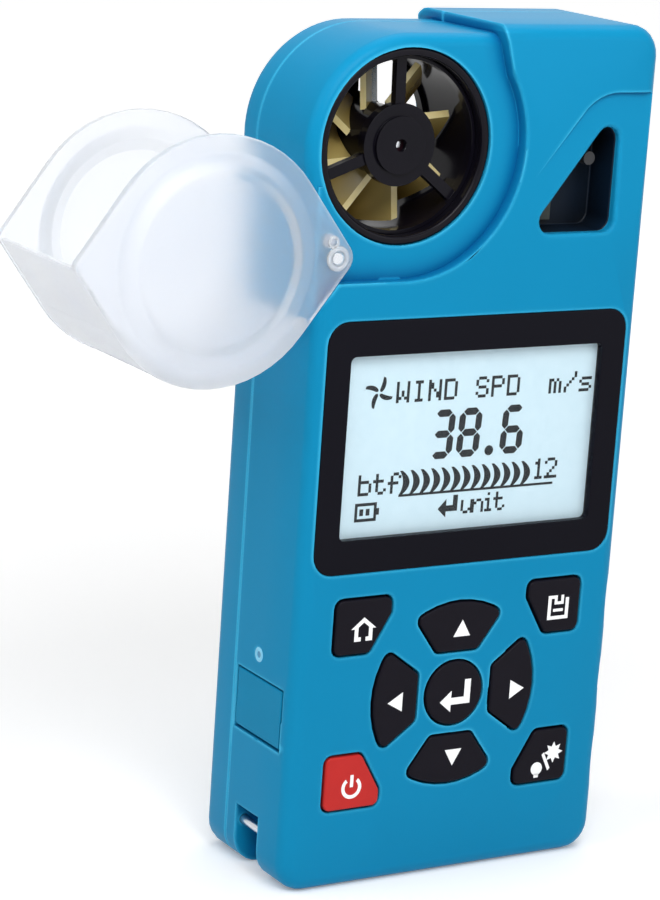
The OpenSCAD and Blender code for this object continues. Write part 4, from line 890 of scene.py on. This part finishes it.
# each group's place and size in mm, from the case's middle and foot
dot = screen["dot"]
shown = {
    "vane": vaneIcon(-17.8, 83.3, 2.7),
    "quantity": dotText("WIND SPD", -14.5, 81.4, dot, 6.1),
    "unit": dotText("m/s", 15.2, 81.3, dot, 6.1),
    "value": digit("abcdg", -7.5, 71.6) + digit("abcdefg", -2.3, 71.6) + [disc(0.85, 4.25, 72.4, 16)]
        + digit("acdefg", 6.2, 71.6),
    "scale": dotText("btf", -20.5, 66.4, dot, 5.6) + scaleBars(-12.7, 66.0, 13, 1.97, 4.1)
        + [bar(-12.7, 65.75, 17.6, 66.15)] + dotText("12", 13.3, 66.8, dot, 4.9),
    "battery": [bar(-20.8, 62.1, -16.7, 62.6), bar(-20.8, 64.7, -16.7, 65.2), bar(-20.8, 62.6, -20.3, 64.7),
                bar(-17.2, 62.6, -16.7, 64.7), bar(-16.7, 63.1, -16.2, 64.2), bar(-19.9, 63.1, -19.2, 64.2),
                bar(-18.7, 63.1, -18.0, 64.2)],
    "hint": [[(-4.9, 63.1), (-3.3, 64.7), (-3.3, 63.6), (-2.0, 63.6), (-2.0, 65.3), (-1.1, 65.3),
              (-1.1, 62.6), (-3.3, 62.6), (-3.3, 61.6)]] + dotText("unit", -0.4, 62.0, 0.46, 4.6),
}
for name, outlines in shown.items():
    printedMarks("shown_" + name, outlines, 0, 0, screen["front"], screen["thick"], "case", crystalInk)
print("display:", len(shown), "groups")

# the pale floor: half its side, and from where to where its own light grows, in metres; its tooth in mm
floorLook = {"size": 3.0, "near": 0.12, "far": 0.55, "glowNear": 0.2, "glowFar": 0.72, "tooth": 2.5,
             "colour": "#fbfbfb", "shade": "#f6f6f6",
             "sockets": {"Roughness": 0.9, "Specular IOR Level": 0.1, "Emission Color": (1, 1, 1, 1)}}


# 1 for what the camera, gloss and glass see, else 0: the sum of the three kinds of ray, cut off at 1.
def seenDirectly(tree):
    rays = addNode(tree, "ShaderNodeLightPath", {})
    total = rays.outputs["Is Camera Ray"]
    for kind in ("Is Glossy Ray", "Is Transmission Ray"):
        total = addNode(tree, "ShaderNodeMath", {"operation": "ADD", "use_clamp": True},
                        {0: total, 1: rays.outputs[kind]}).outputs[0]
    return total


# A wide floor; far from the lamps, what the camera or gloss sees of it gets its own light to stay white.
def makeFloor():
    size = floorLook["size"]
    mesh = bpy.data.meshes.new("floor")
    corners = [(-size, -size, 0), (size, -size, 0), (size, size, 0), (-size, size, 0)]
    mesh.from_pydata(corners, [], [(0, 1, 2, 3)])
    floor = bpy.data.objects.new("floor", mesh)
    bpy.context.scene.collection.objects.link(floor)
    material, tree, place = newMaterial("paperFloor")
    tooth = addNode(tree, "ShaderNodeTexNoise", {"Scale": 1 / (floorLook["tooth"] * mm), "Detail": 2.0},
                    {"Vector": place})
    tint = addNode(tree, "ShaderNodeMix", between(floorLook["colour"], floorLook["shade"]),
                   {0: tooth.outputs[0]})
    away = addNode(tree, "ShaderNodeVectorMath", {"operation": "LENGTH"}, {0: place})
    share = addNode(tree, "ShaderNodeMapRange",
                    {"From Min": floorLook["near"], "From Max": floorLook["far"],
                     "To Min": floorLook["glowNear"], "To Max": floorLook["glowFar"]},
                    {"Value": away.outputs["Value"]})
    glow = addNode(tree, "ShaderNodeMath", {"operation": "MULTIPLY"},
                   {0: seenDirectly(tree), 1: share.outputs[0]})
    shader = addNode(tree, "ShaderNodeBsdfPrincipled", floorLook["sockets"],
                     {"Base Color": tint.outputs[2], "Emission Strength": glow.outputs[0]})
    out = addNode(tree, "ShaderNodeOutputMaterial", {})
    tree.links.new(shader.outputs[0], out.inputs[0])
    floor.data.materials.append(material)


# Soft even light; the camera, gloss and glass see plain white.
def makeWorld(soft):
    world = bpy.data.worlds.new("studio")
    world.use_nodes = True
    tree = world.node_tree
    tree.nodes.clear()
    seen = seenDirectly(tree)
    sky = addNode(tree, "ShaderNodeBackground", {"Color": (1, 1, 1, 1), "Strength": soft})
    white = addNode(tree, "ShaderNodeBackground", {"Color": (1, 1, 1, 1), "Strength": 1.0})
    mix = addNode(tree, "ShaderNodeMixShader", {}, {0: seen, 1: sky.outputs[0], 2: white.outputs[0]})
    out = addNode(tree, "ShaderNodeOutputWorld", {})
    tree.links.new(mix.outputs[0], out.inputs[0])
    bpy.context.scene.world = world


# A square lamp turned from its place towards its aim.
def areaLamp(name, size, power, place, aim):
    lamp = bpy.data.lights.new(name, "AREA")
    lamp.size = size
    lamp.energy = power
    holder = bpy.data.objects.new(name, lamp)
    bpy.context.scene.collection.objects.link(holder)
    holder.location = place
    holder.rotation_euler = (Vector(aim) - Vector(place)).to_track_quat("-Z", "Y").to_euler()


# size and place in metres, power in watts
studio = {
    "keyLamp": {"size": 0.2, "power": 0.62, "place": (-0.12, -0.26, 0.32), "aim": (0, 0, 0.11)},
    "sideLamp": {"size": 0.4, "power": 1.0, "place": (-0.4, 0.0, 0.42), "aim": (0, 0, 0.09)},
    "hoodLamp": {"size": 0.08, "power": 0.1, "place": (-0.03, -0.13, 0.25), "aim": (0, 0, 0.125)},
    "topLamp": {"size": 0.5, "power": 1.6, "place": (0.2, 0.1, 0.7), "aim": (0, 0, 0.08)},
    "fillLamp": {"size": 0.4, "power": 0.7, "place": (0.42, -0.6, 0.26), "aim": (0, 0, 0.07)},
}
skyStrength = 0.26
makeFloor()
makeWorld(skyStrength)
for name, lamp in studio.items():
    areaLamp(name, **lamp)

# turn and tilt in degrees, place in metres, lens and sensor in mm; look is where the camera faces
view = {"turn": 31.686, "tilt": 3.933, "place": (-0.2745, -0.4136, 0.1887),
        "look": (0.51039, 0.82683, -0.23634), "lens": 122.65, "sensor": 36,
        "shiftX": 0.0020, "shiftY": 0.0043}


# The camera's axes: right is level and then rolled, down is square to both.
def makeCamera():
    look = Vector(view["look"])
    a, roll = math.radians(view["turn"]), math.radians(view["tilt"])
    level = Vector((math.cos(a), -math.sin(a), 0))
    sink = look.cross(level)
    right = math.cos(roll) * level - math.sin(roll) * sink
    down = math.sin(roll) * level + math.cos(roll) * sink
    camera = bpy.data.cameras.new("camera")
    camera.lens, camera.sensor_width = view["lens"], view["sensor"]
    camera.shift_x, camera.shift_y = view["shiftX"], view["shiftY"]
    holder = bpy.data.objects.new("camera", camera)
    bpy.context.scene.collection.objects.link(holder)
    turn = Matrix((right, -down, -look)).transposed().to_4x4()
    turn.translation = Vector(view["place"])
    holder.matrix_world = turn
    bpy.context.scene.camera = holder


makeCamera()
bpy.context.scene.view_settings.view_transform = "Standard"
bpy.context.view_layer.update()
print("scene ready")
